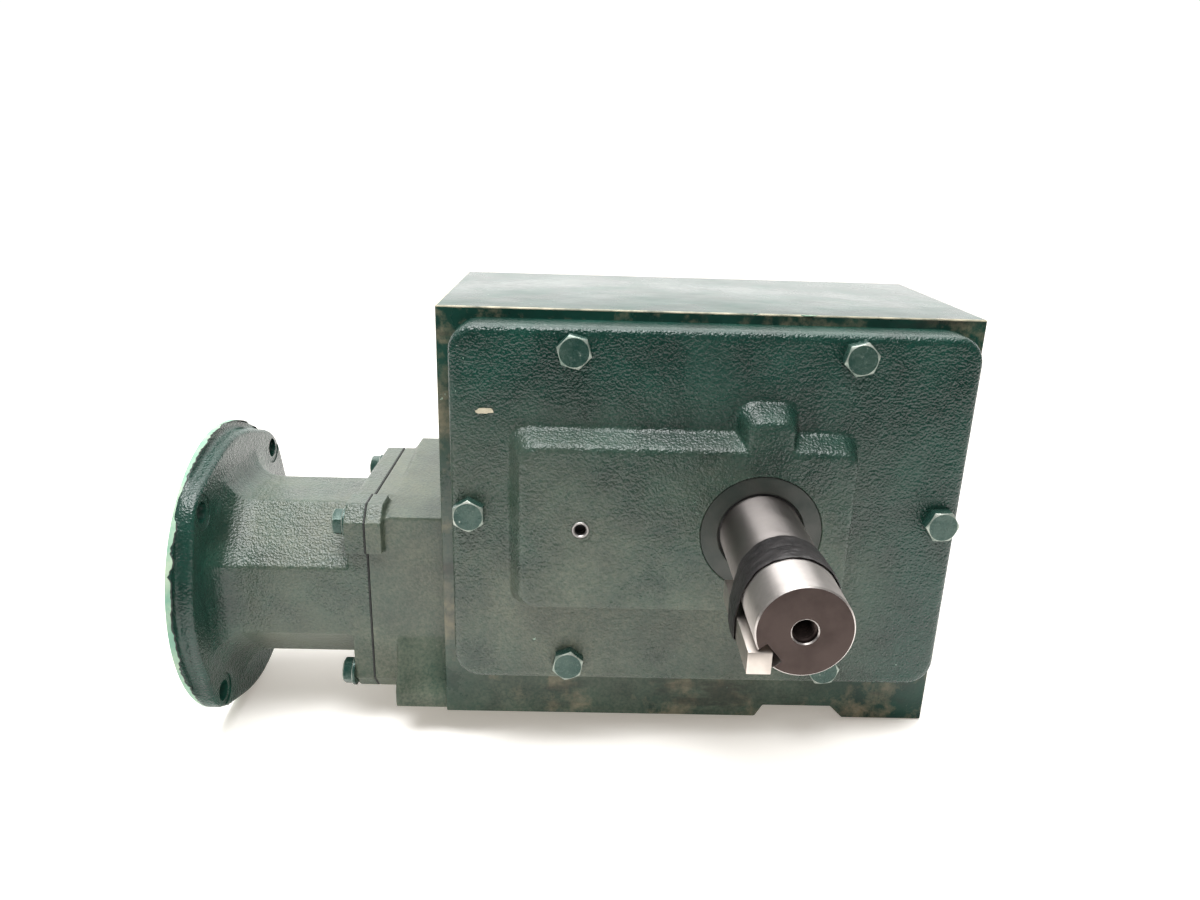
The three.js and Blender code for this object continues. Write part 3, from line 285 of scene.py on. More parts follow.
# ------------------------------------------------------------------ node helpers for materials
class Nodes:
    """A short way to wire a node material."""

    def __init__(self, name):
        self.material = bpy.data.materials.new(name)
        self.material.use_nodes = True
        self.tree = self.material.node_tree
        self.shader = self.tree.nodes["Principled BSDF"]
        self.coords = self.tree.nodes.new("ShaderNodeTexCoord").outputs["Object"]

    def link(self, source, target):
        self.tree.links.new(source, target)

    def noise(self, scale, detail=3.0, rough=0.55, stretch=(1, 1, 1), shift=0.0):
        mapping = self.tree.nodes.new("ShaderNodeMapping")
        mapping.inputs["Scale"].default_value = stretch
        mapping.inputs["Location"].default_value = (shift, shift, shift)
        self.link(self.coords, mapping.inputs["Vector"])
        node = self.tree.nodes.new("ShaderNodeTexNoise")
        node.inputs["Scale"].default_value = scale
        node.inputs["Detail"].default_value = detail
        node.inputs["Roughness"].default_value = rough
        self.link(mapping.outputs[0], node.inputs["Vector"])
        return node.outputs["Fac"]

    def spots(self, scale, stretch=(1, 1, 1)):
        mapping = self.tree.nodes.new("ShaderNodeMapping")
        mapping.inputs["Scale"].default_value = stretch
        self.link(self.coords, mapping.inputs["Vector"])
        node = self.tree.nodes.new("ShaderNodeTexVoronoi")
        node.inputs["Scale"].default_value = scale
        self.link(mapping.outputs[0], node.inputs["Vector"])
        return node.outputs["Distance"]

    def ramp(self, value, low, high, from_value=0.0, to_value=1.0):
        node = self.tree.nodes.new("ShaderNodeMapRange")
        node.inputs["From Min"].default_value = low
        node.inputs["From Max"].default_value = high
        node.inputs["To Min"].default_value = from_value
        node.inputs["To Max"].default_value = to_value
        self.link(value, node.inputs["Value"])
        return node.outputs["Result"]

    def math(self, operation, first, second):
        node = self.tree.nodes.new("ShaderNodeMath")
        node.operation = operation
        for socket, value in zip(node.inputs, (first, second)):
            if isinstance(value, (int, float)):
                socket.default_value = value
            else:
                self.link(value, socket)
        return node.outputs[0]

    def position(self, axis):
        node = self.tree.nodes.new("ShaderNodeSeparateXYZ")
        self.link(self.coords, node.inputs[0])
        return node.outputs[axis]

    def mix(self, factor, first, second):
        node = self.tree.nodes.new("ShaderNodeMix")
        node.data_type = "RGBA"
        self.link(factor, node.inputs[0])
        for socket, value in ((node.inputs[6], first), (node.inputs[7], second)):
            if isinstance(value, tuple):
                socket.default_value = (*value, 1)
            else:
                self.link(value, socket)
        return node.outputs[2]

    def bump(self, height, distance, strength=1.0, normal=None):
        node = self.tree.nodes.new("ShaderNodeBump")
        node.inputs["Strength"].default_value = strength
        node.inputs["Distance"].default_value = distance
        self.link(height, node.inputs["Height"])
        if normal is not None:
            self.link(normal, node.inputs["Normal"])
        return node.outputs["Normal"]

    def color(self, value):
        self.put("Base Color", value)

    def put(self, name, value):
        socket = self.shader.inputs[name]
        if isinstance(value, tuple):
            socket.default_value = (*value, 1)
        elif isinstance(value, (int, float)):
            socket.default_value = value
        else:
            self.link(value, socket)


GREEN = (0.002, 0.040, 0.028)
DEEP_GREEN = (0.001, 0.021, 0.015)
DUST = (0.17, 0.175, 0.13)
MINT = (0.40, 0.58, 0.46)
TAN = (0.24, 0.20, 0.13)
OIL = (0.02, 0.02, 0.017)
SPECK = (0.012, 0.013, 0.010)


def enamel(name, roughness=0.27, dust=0.5, cast=1.0, machined=False):
    """Dark green gloss enamel over a rough casting, with small chips.

    Dust lies on it in patches. Its film is made heavier towards the bottom and thinner at the far right and
    the far left. The machined surfaces carry tan streaks and oil runs at the front. The ramps over a
    position are in metres.
    """
    n = Nodes(name)
    patches = n.noise(22, 4, 0.6)
    fine = n.noise(640, 2, 0.6)
    green = n.mix(n.ramp(n.noise(45, 4), 0.35, 0.7), DEEP_GREEN, GREEN)
    # The film is made thinner at the far right and the far left, and heavier towards the bottom.
    fade_right = n.ramp(n.position("X"), 0.105, 0.03, 0.05, 1.0)
    fade_left = n.ramp(n.position("X"), -0.254, -0.236, 0.05, 1.0)
    side_fade = n.math("MULTIPLY", fade_right, fade_left)
    low = n.math("MULTIPLY", n.ramp(n.position("Z"), 0.195, 0.10), side_fade)
    film = n.math("MULTIPLY", n.math("ADD", low, 0.05), n.ramp(patches, 0.30, 0.68, 0.25, 1.0))
    grain = n.ramp(fine, 0.35, 0.65, 0.55, 1.0)
    film = n.math("MULTIPLY", n.math("MULTIPLY", film, grain), dust)
    dusty = n.mix(film, green, DUST)
    flaking = n.math("ADD", n.noise(190, 4, 0.7, shift=3.1), n.math("MULTIPLY", n.noise(14, 2), 0.35))
    chips = n.ramp(flaking, 0.93, 0.95)
    chipped = n.mix(n.math("MULTIPLY", chips, 0.8), dusty, MINT)
    specks = n.ramp(n.spots(230), 0.10, 0.05)
    specks = n.math("MULTIPLY", specks, n.ramp(n.noise(40, 2, shift=1.7), 0.58, 0.66))
    colour = n.mix(n.math("MULTIPLY", specks, 0.55), chipped, SPECK)
    if machined:
        scratch = n.noise(34, 6, 0.75, stretch=(1, 7, 1), shift=2.3)
        front = n.ramp(n.position("Y"), -0.0585, -0.0610, 0.08, 0.6)
        colour = n.mix(n.math("MULTIPLY", n.ramp(scratch, 0.50, 0.66), front), colour, TAN)
        run = n.noise(60, 5, 0.7, stretch=(0.15, 1, 0.5), shift=5.1)
        colour = n.mix(n.math("MULTIPLY", n.ramp(run, 0.56, 0.64), front), colour, OIL)
    n.color(colour)
    sheen = n.math("ADD", patches, n.math("MULTIPLY", film, 0.8))
    n.put("Roughness", n.ramp(sheen, 0.3, 1.3, roughness - 0.06, roughness + 0.26))
    pebbles = n.math("MULTIPLY", n.noise(900, 1, 0.5), cast)
    lumps = n.math("MULTIPLY", n.noise(380, 1, 0.5), 0.5 * cast)
    waves = n.math("MULTIPLY", n.noise(60, 1, 0.4), 1.2)
    height = n.math("ADD", n.math("ADD", pebbles, lumps), waves)
    n.put("Normal", n.bump(height, 0.0005, 1.0))
    n.put("Specular IOR Level", n.ramp(n.position("Z"), 0.0, 0.045, 0.1, 0.5))
    return n.material


def steel(name, colour, roughness, grain_axis="Y", marks=0.35, anisotropic=0.0):
    """Ground or turned steel with fine tool marks running round the shaft."""
    n = Nodes(name)
    stretch = {"X": (1, 0.004, 0.004), "Y": (0.004, 1, 0.004), "Z": (0.004, 0.004, 1)}[grain_axis]
    rings = n.noise(1800, 2, 0.5, stretch=stretch)
    stains = n.noise(60, 4, 0.6)
    dark = tuple(c * 0.72 for c in colour)
    n.color(n.mix(n.ramp(stains, 0.45, 0.75), colour, dark))
    n.put("Metallic", 1.0)
    grit = n.math("ADD", n.math("MULTIPLY", rings, 0.5), stains)
    n.put("Roughness", n.ramp(grit, 0.4, 1.1, roughness - 0.06, roughness + 0.14))
    n.put("Normal", n.bump(rings, 0.00003, marks))
    if anisotropic:
        round_axis = n.tree.nodes.new("ShaderNodeTangent")
        round_axis.direction_type = "RADIAL"
        round_axis.axis = grain_axis
        n.link(round_axis.outputs[0], n.shader.inputs["Tangent"])
        n.put("Anisotropic", anisotropic)
        n.put("Anisotropic Rotation", 0.25)
    return n.material


def plain(name, colour, second, roughness, scale=240, depth=0.0002, metallic=0.0):
    """A dull surface with mottled colour and a fine tooth."""
    n = Nodes(name)
    mottle = n.noise(scale * 0.25, 4, 0.6)
    n.color(n.mix(n.ramp(mottle, 0.35, 0.7), colour, second))
    n.put("Metallic", metallic)
    n.put("Roughness", n.ramp(mottle, 0.3, 0.7, roughness - 0.08, roughness + 0.1))
    n.put("Normal", n.bump(n.noise(scale, 3, 0.6), depth, 0.6))
    return n.material


def painted_bolt():
    """A steel head overpainted green, its paint rubbed thin."""
    n = Nodes("painted_bolt")
    wear = n.noise(330, 4, 0.7)
    green = n.mix(n.ramp(n.noise(120, 3), 0.3, 0.7), (0.006, 0.040, 0.031), (0.045, 0.085, 0.068))
    n.color(n.mix(n.ramp(wear, 0.64, 0.74), green, (0.42, 0.46, 0.40)))
    n.put("Roughness", n.ramp(wear, 0.3, 0.7, 0.16, 0.36))
    n.put("Metallic", 0.2)
    n.put("Normal", n.bump(n.noise(500, 3), 0.0003, 0.7))
    return n.material


CASTING = enamel("green_casting", 0.27, 0.85, 0.6)
COVER_PAINT = enamel("green_cover", 0.24, 0.64, 1.15)
MACHINED = enamel("green_machined", 0.27, 0.60, 0.15, machined=True)
ADAPTER_PAINT = enamel("green_adapter", 0.22, 0.62, 0.95)
SHAFT_STEEL = steel("ground_shaft", (0.52, 0.485, 0.465), 0.38, marks=0.8, anisotropic=0.85)
# A darker copy of the shaft steel: painted shade on the shaft next to the cover.
SHADED_REAR_STEEL = steel("ground_shaft_painted_shade", (0.30, 0.275, 0.265), 0.36, marks=0.8,
                   anisotropic=0.85)
END_STEEL = steel("shaft_end_face", (0.066, 0.050, 0.046), 0.42, marks=0.2)
KEY_STEEL = steel("key_steel", (0.55, 0.50, 0.46), 0.32, grain_axis="X")
GEAR_STEEL = steel("gear_steel", (0.32, 0.31, 0.30), 0.34)
BOLT_PAINT = painted_bolt()
CHIPPED_EDGE = plain("chipped_case_edge", (0.46, 0.41, 0.29), (0.015, 0.045, 0.034), 0.5, 330, 0.0003)
WORN_EDGE = plain("worn_edge", (0.42, 0.45, 0.40), (0.10, 0.16, 0.13), 0.32, 500, 0.0002, 0.5)
TAPE = plain("black_tape", (0.007, 0.006, 0.007), (0.022, 0.019, 0.019), 0.40, 190, 0.0012)
SEAL_SKIN = plain("seal_skin", (0.034, 0.038, 0.032), (0.014, 0.024, 0.019), 0.42, 300, 0.0002)
# The black rubber of the seal lip, also used as painted shade at the bottom of the jack hole.
SEAL_LIP_AND_HOLE_SHADE = plain("seal_lip", (0.012, 0.012, 0.012), (0.03, 0.028, 0.026), 0.5)
# Black gasket paper, also used as painted shade in the crack at the rim of the motor flange.
GASKET_AND_CRACK_SHADE = plain("gasket", (0.010, 0.011, 0.012), (0.03, 0.032, 0.03), 0.7)
IRON = plain("raw_iron", (0.10, 0.095, 0.09), (0.16, 0.15, 0.14), 0.55, 300, 0.0004, 0.7)
BRASS = plain("plug_metal", (0.32, 0.30, 0.26), (0.20, 0.19, 0.17), 0.35, 300, 0.0001, 1.0)
PEELED = plain("peeled_paint", (0.16, 0.33, 0.24), (0.36, 0.46, 0.34), 0.55, 400, 0.0004)
CREAM = plain("paint_flake", (0.62, 0.56, 0.42), (0.40, 0.36, 0.26), 0.6, 500, 0.0004)


# ------------------------------------------------------------------ camera, floor and light
def add_camera():
    """The photograph's viewpoint: its turn, tilt and roll, and its place in front of the case."""
    turn, tilt, roll = 0.0224, 0.3232, 0.0313
    place = Vector((-60.0, -470.0, 288.4)) * MM
    ahead = Vector((math.sin(turn) * math.cos(tilt), math.cos(turn) * math.cos(tilt), -math.sin(tilt)))
    level = Vector((math.cos(turn), -math.sin(turn), 0))
    above = level.cross(ahead)
    right = level * math.cos(roll) + above * math.sin(roll)
    up = above * math.cos(roll) - level * math.sin(roll)
    data = bpy.data.cameras.new("camera")
    data.sensor_fit = "HORIZONTAL"
    data.sensor_width = 36
    data.lens = 26.3
    data.clip_start = 0.01
    camera = bpy.data.objects.new("camera", data)
    bpy.context.scene.collection.objects.link(camera)
    camera.matrix_world = Matrix.Translation(place) @ Matrix((right, up, -ahead)).transposed().to_4x4()
    bpy.context.scene.camera = camera


FLOOR_GAP = 0.3


def add_floor():
    """The reducer lies on the rim of its motor flange and the far edge of its base."""
    rim = Vector((MOTOR_FACE + 1, 0, FLANGE_LOW.z))
    edge = Vector((CASE_RIGHT, 0, 0))
    run = (edge - rim).normalized()
    start, end = rim - run * 2500, rim + run * 3000
    drop = run.cross(Vector((0, 1, 0)))
    drop *= -FLOOR_GAP if drop.z > 0 else FLOOR_GAP
    near, far = -620, 3200
    corners = [(p.x + drop.x, y, p.z + drop.z)
               for p, y in ((start, near), (end, near), (end, far), (start, far))]
    floor = make_object("floor", corners, [(0, 1, 2, 3)])
    n = Nodes("floor_cloth")
    n.color(n.mix(n.ramp(n.noise(6, 4), 0.3, 0.7), (0.88, 0.87, 0.85), (0.94, 0.93, 0.91)))
    n.put("Roughness", 0.9)
    n.put("Normal", n.bump(n.noise(900, 2, 0.5), 0.0002, 0.2))
    # The cloth glows a little: painted fill light that lifts the shadows on it and lights the case from
    # below.
    n.put("Emission Color", (1.0, 0.90, 0.80))
    n.put("Emission Strength", 0.32)
    floor.data.materials.append(n.material)


def area_light(name, place, target, size, radiance):
    data = bpy.data.lights.new(name, "AREA")
    data.shape = "RECTANGLE"
    data.size, data.size_y = size
    data.energy = radiance * math.pi * size[0] * size[1]
    lamp = bpy.data.objects.new(name, data)
    bpy.context.scene.collection.objects.link(lamp)
    lamp.location = place
    lamp.rotation_euler = (Vector(target) - Vector(place)).to_track_quat("-Z", "Y").to_euler()


WORLD_BASE, WORLD_BACK, WORLD_TOP = 0.07, 1.85, 0.6


def add_light():
    """A white room that is bright above and behind and dim towards the camera, and three soft lights."""
    world = bpy.data.worlds.new("studio")
    bpy.context.scene.world = world
    world.use_nodes = True
    tree = world.node_tree

    def made(kind, **values):
        node = tree.nodes.new(kind)
        for name, value in values.items():
            node.inputs[name].default_value = value
        return node

    ways = made("ShaderNodeTexCoord")
    split = made("ShaderNodeSeparateXYZ")
    tree.links.new(ways.outputs["Generated"], split.inputs[0])
    strengths = []
    for axis, start, full, strength in (("Y", -0.1, 0.9, WORLD_BACK), ("Z", 0.15, 0.9, WORLD_TOP)):
        ranges = {"From Min": start, "From Max": full, "To Min": 0.0, "To Max": strength}
        ramp = made("ShaderNodeMapRange", **ranges)
        tree.links.new(split.outputs[axis], ramp.inputs["Value"])
        strengths.append(ramp.outputs["Result"])
    total = made("ShaderNodeMath")
    tree.links.new(strengths[0], total.inputs[0])
    tree.links.new(strengths[1], total.inputs[1])
    base = made("ShaderNodeMath")
    base.inputs[1].default_value = WORLD_BASE
    tree.links.new(total.outputs[0], base.inputs[0])
    lit = tree.nodes["Background"]
    lit.inputs["Color"].default_value = (1.0, 0.99, 0.975, 1)
    tree.links.new(base.outputs[0], lit.inputs["Strength"])
    seen = made("ShaderNodeBackground", Color=(1.0, 0.992, 0.98, 1), Strength=1.05)
    path = made("ShaderNodeLightPath")
    mix = made("ShaderNodeMixShader")
    tree.links.new(path.outputs["Is Camera Ray"], mix.inputs[0])
    tree.links.new(lit.outputs[0], mix.inputs[1])
    tree.links.new(seen.outputs[0], mix.inputs[2])
    tree.links.new(mix.outputs[0], tree.nodes["World Output"].inputs["Surface"])
    bpy.context.scene.view_settings.view_transform = "Standard"
    area_light("overhead", (-0.22, -0.33, 1.05), (-0.12, -0.05, 0.1), (0.95, 0.46), 11)
    area_light("ceiling", (0.0, 0.20, 1.15), (0, 0.05, 0.1), (1.3, 0.55), 3.5)
    area_light("front_left", (-1.2, -0.9, 0.75), (0, -0.05, 0.1), (0.35, 0.5), 1.5)


add_camera()
add_floor()
add_light()


# ------------------------------------------------------------------ case
NOSE_FRONT, NOSE_BACK = -47.4, 57


def nose_outline(grow=0.0):
    """The outline, in Y and Z, of the joint between the case and the adapter."""
    front, back, top, bottom = NOSE_FRONT - grow, NOSE_BACK + grow, 110.7 + grow, 0.5 - grow
    return [(front + 8, bottom), (back, bottom), (back, top), (-25, top), (front, 94), (front, bottom + 10)]


LUG_OUTLINE = [(-52, 88), (-30, 88), (-30, 113), (-44, 113), (-52, 105)]
CHANNEL_OUTLINE = [(38.25, -1), (86.25, -1), (86.25, 0), (79.25, 7), (42.25, 7), (38.25, 0)]
CAP_RECESS = 1.2
REAR_CAPS = ("output_rear_cap", "cross_rear_cap")
PLUGS = ("vent_plug", "level_plug", "drain_plug")


def build_case():
    corners = [(CASE_LEFT, 0), (CASE_RIGHT, 0), (CASE_RIGHT, CASE_TOP), (CASE_LEFT, CASE_TOP)]
    box = prism("case_box", corners, "Y", CASE_FRONT, CASE_BACK)
    cut(box, prism("channel", CHANNEL_OUTLINE, "Y", CASE_FRONT - PAST, CASE_BACK + PAST))
    bevelled(box, 0.8, 3)
    seats = [rod("seat", span(node)[1].x - centre(node).x + 0.6, CASE_BACK - CAP_RECESS, CASE_BACK + 2,
                 "Y", (centre(node).x, 0, centre(node).z), 96) for node in REAR_CAPS]
    spot_faces = [rod("spot", 11, CASE_RIGHT - 0.6, CASE_RIGHT + 2,
                      "X", (0, centre(node).y, centre(node).z), 48) for node in PLUGS]
    cut(box, *seats, *spot_faces)
    finish_piece(box, "case", "green_enamel", MACHINED, "gear_case", angle=20)
    box.data.materials.append(CHIPPED_EDGE)
    near_top = 200 * MM
    for face in box.data.polygons:
        tilt = sorted(abs(part) for part in face.normal)
        if tilt[1] > 0.2 and face.center.z > near_top:
            face.material_index = 1


def build_nose():
    """The rough-cast nose and foot at the left of the machined box."""
    joint = nose_outline()
    full = joint[:2] + [(NOSE_BACK, 117), (-25, 110.4), (NOSE_FRONT, 107), joint[5]]
    steps = ((JOINT_X, joint), (JOINT_X + 7, joint), (JOINT_X + 11, full), (CASE_LEFT + 2, full))
    nose = loft("case_nose", [[(x, y, z) for y, z in outline] for x, outline in steps])
    sole = [(-60, 0.2), (60, 0.2), (60, 9), (54, 26), (-46, 40), (-52, 26), (-60, 9)]
    foot = prism("foot", sole, "X", FOOT_LEFT, CASE_LEFT + 2)
    lug = prism("lug", LUG_OUTLINE, "X", JOINT_X, JOINT_X + 9)
    join(nose, foot, lug)
    cast_skin(nose, 1.0, 3)
    block = [(-90, -40), (90, -40), (90, 160), (-90, 160)]
    face = prism("face", block, "X", JOINT_X - 10, JOINT_X + 0.35)
    under = prism("under", [(-200, -90), (0, -90), (0, 90), (-200, 90)], "Z", -10, 0.2)
    cut(nose, face, under)
    finish_piece(nose, "case", "green_enamel", CASTING, angle=40)


def build_rear_caps():
    for node in REAR_CAPS:
        low, high = span(node)
        radius = (high.x - low.x) / 2 - 0.2
        place = (centre(node).x, 0, centre(node).z)
        face = high.y
        profile = [(0, low.y), (radius, low.y), (radius, face - 1.2), (radius - 1.2, face),
                   (radius - 5, face), (radius - 7, face - 2.2), (radius * 0.4, face - 2.4),
                   (0, face - 2.4)]
        cap = revolve(node + "_pressed", profile, "Y", place)
        finish_piece(cap, "case", "green_enamel", CASTING, node)


def build_plugs():
    for node in PLUGS:
        low, high = span(node)
        place = (0, centre(node).y, centre(node).z)
        radius = (high.z - low.z) / 2
        profile = [(0, low.x), (radius, low.x), (radius, high.x - 1.0), (radius - 1.0, high.x),
                   (0, high.x)]
        plug = revolve(node + "_turned", profile, "X", place, 64)
        cut(plug, prism("socket", circle(radius * 0.56, 6), "X", high.x - 5, high.x + 1, place))
        finish_piece(plug, "case", "plug_brass", BRASS, node, angle=25)


# ------------------------------------------------------------------ front cover
def build_cover():
    left, right = COVER_LOW.x, COVER_HIGH.x
    bottom, top = COVER_LOW.z, COVER_HIGH.z
    skirt = [(0.0, COVER_BACK), (0.0, COVER_FRONT + 4.0), (0.5, COVER_FRONT + 1.6),
             (1.8, COVER_FRONT + 0.4), (3.6, COVER_FRONT)]
    cover = stepped("cover_casting", [
        (y, (left + inset, right - inset, bottom + inset, top - inset), COVER_CORNER - inset)
        for inset, y in skirt
    ])
    pad = stepped("pad", [
        (COVER_FRONT + 3, (-95.5, 69.8, 77.4, 170.4), 9),
        (COVER_FRONT - 1.0, (-93.4, 69.2, 78.2, 168.2), 9),
        (PAD_FRONT + 1.2, (-88.4, 67.8, 80.8, 163.2), 8),
        (PAD_FRONT, (-86.8, 66.8, 82.0, 161.4), 7.5),
    ])
    hump = stepped("hump", [
        (COVER_FRONT + 3, (10.2, 41.2, 118, 185), 8),
        (COVER_FRONT - 1, (12.0, 39.8, 118, 183), 8),
        (PAD_FRONT + 1.4, (15.6, 37.4, 118, 177.6), 7),
        (PAD_FRONT, (17.4, 36.0, 118, 176.0), 6.5),
    ])
    boss = [(0, COVER_FRONT + 2), (35.5, COVER_FRONT + 2), (34.2, PAD_FRONT + 1.5),
            (32.6, PAD_FRONT), (0, PAD_FRONT)]
    collar = revolve("collar", boss, "Y", SHAFT_ORIGIN)
    join(cover, pad, hump, collar)
    cast_skin(cover, 1.0, 3)
    bore = rod("bore", SEAL_RADIUS + 0.15, PAD_FRONT - PAST, COVER_BACK + PAST, "Y", SHAFT_ORIGIN, 128)
    jack_hole = rod("jack_hole", 4.3, PAD_FRONT - PAST, PAD_FRONT + 12, "Y", CROSS_ORIGIN, 48)
    recess = rod("recess", 6.1, PAD_FRONT - PAST, PAD_FRONT + 0.3, "Y", CROSS_ORIGIN, 64)
    behind = rounded(left - PAST, right + PAST, bottom - PAST, top + PAST, 5)
    back = prism("back", behind, "Y", COVER_BACK - 0.1, COVER_BACK + 20)
    cut(cover, bore, jack_hole, recess, back)
    finish_piece(cover, "case", "green_enamel", COVER_PAINT, "front_cover", angle=40)
    tube = [(2.7, PAD_FRONT + 11), (2.7, PAD_FRONT + 0.7), (3.2, PAD_FRONT + 0.15),
            (3.9, PAD_FRONT + 0.15), (4.35, PAD_FRONT + 0.6), (4.35, PAD_FRONT + 11)]
    lining = revolve("jack_hole_lining", tube, "Y", CROSS_ORIGIN, 48)
    finish_piece(lining, "case", "gear_steel", GEAR_STEEL, angle=40)
    # A near-black disc at the bottom of the jack hole: painted shade inside the hole.
    plug = rod("jack_hole_shade", 2.75, PAD_FRONT + 6, PAD_FRONT + 11, "Y", CROSS_ORIGIN, 32)
    finish_piece(plug, "case", "gear_steel", SEAL_LIP_AND_HOLE_SHADE, angle=40)


def build_gaskets():
    low, high = span("cover_gasket")
    sheet = prism("cover_gasket_edge", rounded(low.x, high.x, low.z, high.z, COVER_CORNER),
                  "Y", low.y, high.y)
    hole = rounded(low.x + 30, high.x - 30, low.z + 30, high.z - 30, 10)
    cut(sheet, prism("window", hole, "Y", low.y - 1, high.y + 1))
    finish_piece(sheet, "case", "gasket_paper", GASKET_AND_CRACK_SHADE, "cover_gasket", angle=25)
    low, high = span("adapter_gasket")
    bead = prism("adapter_gasket_edge", nose_outline(-0.2), "X", low.x, high.x)
    lug = prism("gasket_lug", [(y + 0.3, z) for y, z in LUG_OUTLINE], "X", low.x, high.x)
    join(bead, lug)
    cut(bead, rod("window", 40, low.x - 1, high.x + 1, "X", INPUT_ORIGIN))
    finish_piece(bead, "case", "gasket_paper", GASKET_AND_CRACK_SHADE, "adapter_gasket", angle=25)


# ------------------------------------------------------------------ bolts
def hex_bolt(name, node, axis, across, head, turn, washer=0):
    """A hexagon head with its chamfered crown, on a washer face if it has one, and its shank."""
    low, high = span(node)
    middle = centre(node)
    origin = (middle.x, 0, middle.z) if axis == "Y" else (0, middle.y, middle.z)
    start, end = (low.y, high.y) if axis == "Y" else (low.x, high.x)
    seat = start + (head + washer)
    corner = across / math.sqrt(3)
    hexagon = prism(name, circle(corner, 6, turn), axis, start, seat - washer, origin)
    flat, reach = across * 0.47, corner + 0.6
    cone = [(0, start), (flat, start), (reach, start + (reach - flat) * 0.55), (reach, seat), (0, seat)]
    crown = revolve("crown", cone, axis, origin, 48)
    crossing = hexagon.modifiers.new("crown", "BOOLEAN")
    crossing.operation = "INTERSECT"
    crossing.object = crown
    crossing.solver = "EXACT"
    bake(hexagon)
    bpy.data.objects.remove(crown)
    bevelled(hexagon, 0.3, 2, 40)
    pieces = [rod("shank", across * 0.32, seat - 1, end, axis, origin, 24)]
    if washer:
        disc = [(0, seat - washer), (across * 0.60, seat - washer),
                (across * 0.63, seat - washer * 0.7), (across * 0.63, seat), (0, seat)]
        pieces.append(revolve("washer", disc, axis, origin, 48))
    join(hexagon, *pieces)
    finish_piece(hexagon, "case", "painted_bolt", BOLT_PAINT, node, angle=28)
    hexagon.data.materials.append(WORN_EDGE)
    for face in hexagon.data.polygons:
        ahead = -face.normal[{"X": 0, "Y": 1}[axis]]
        if 0.12 < ahead < 0.97:
            face.material_index = 1


def build_bolts():
    for i, turn in enumerate((0.35, 0.1, 0.8, 0.25, 0.55, 0.05)):
        hex_bolt(f"cover_bolt_head_{i + 1}", f"cover_bolt_{i + 1}", "Y",
                 COVER_BOLT_FLATS, COVER_BOLT_HEAD, turn)
    for i in range(4):
        hex_bolt(f"adapter_bolt_head_{i + 1}", f"adapter_bolt_{i + 1}", "X",
                 ADAPTER_BOLT_FLATS, ADAPTER_BOLT_HEAD, 0.2 + 0.3 * i, ADAPTER_BOLT_WASHER)


# ------------------------------------------------------------------ motor adapter
def flange_lobes(scale, steps=144):
    """The round outline of the flange, which swells into a lobe at each of its four holes."""
    outline = []
    for i in range(steps):
        a = i * 2 * math.pi / steps
        radius = (78 + 5.5 * math.sin(2 * a) ** 8) * scale
        outline.append((radius * math.cos(a), radius * math.sin(a)))
    return outline


def build_adapter():
    """The motor flange, the octagonal neck and the back flange, cast in one piece."""
    z = INPUT_AXIS.z
    origin = (0, 0, z)
    rim = rod("adapter_casting", RIM_RADIUS, MOTOR_FACE, MOTOR_FACE + 3, "X", origin, 96)
    waist = ((MOTOR_FACE + 2, 1.0), (FLANGE_BACK - 1.5, 0.995), (FLANGE_BACK, 0.975))
    flange = loft("lobes", [[(x, u, z + v) for u, v in flange_lobes(scale)] for x, scale in waist])
    neck_rings = []
    for x, scale in ((MOTOR_FACE + 5, 1.36), (FLANGE_BACK, 1.30), (FLANGE_BACK + 2, 1.17),
                     (FLANGE_BACK + 5, 1.08), (FLANGE_BACK + 10, 1.02), (FLANGE_BACK + 16, 1.0),
                     (BACK_FLANGE - 5, 1.0), (BACK_FLANGE + 4, 1.02)):
        radius = NECK_FLAT / math.cos(math.pi / 8) * scale
        neck_rings.append([(x, u, z + v) for u, v in circle(radius, 8, math.pi / 8)])
    neck = loft("neck", neck_rings)
    joint = ADAPTER_JOINT
    back = prism("back_flange", nose_outline(), "X", BACK_FLANGE, joint + 3)
    lug = prism("lug", LUG_OUTLINE, "X", BACK_FLANGE, joint + 3)
    join(rim, flange, neck, back, lug)
    cast_skin(rim, 1.0, 2)
    block = [(-120, -120), (120, -120), (120, 120), (-120, 120)]
    tools = [
        prism("motor_side", block, "X", MOTOR_FACE - 20, MOTOR_FACE + 0.4, origin),
        prism("case_side", block, "X", joint, joint + 20, origin),
        rod("register", REGISTER_RADIUS, MOTOR_FACE - PAST, MOTOR_FACE + 4, "X", origin, 128),
        rod("hollow", 38, MOTOR_FACE - PAST, span("input_seal")[0].x - 1, "X", origin, 96),
        rod("seal_seat", 22.2, MOTOR_FACE, joint + 5, "X", origin, 64),
        rod("inside", 31.2, span("input_head_bearing_cup")[0].x - 0.3, joint + 25, "X", origin, 64),
    ]
    for eighth in (1, 3, 5, 7):
        a = eighth * math.pi / 4
        place = (0, MOTOR_HOLE_REACH * math.cos(a), z + MOTOR_HOLE_REACH * math.sin(a))
        tools.append(rod("hole", 5.6, MOTOR_FACE - PAST, FLANGE_BACK + 20, "X", place, 40))
        tools.append(rod("spot", 9.5, FLANGE_BACK - 0.5, FLANGE_BACK + 9, "X", place, 48))
    cut(rim, *tools)
    finish_piece(rim, "case", "green_enamel", ADAPTER_PAINT, "input_adapter", "motor_flange", angle=40)


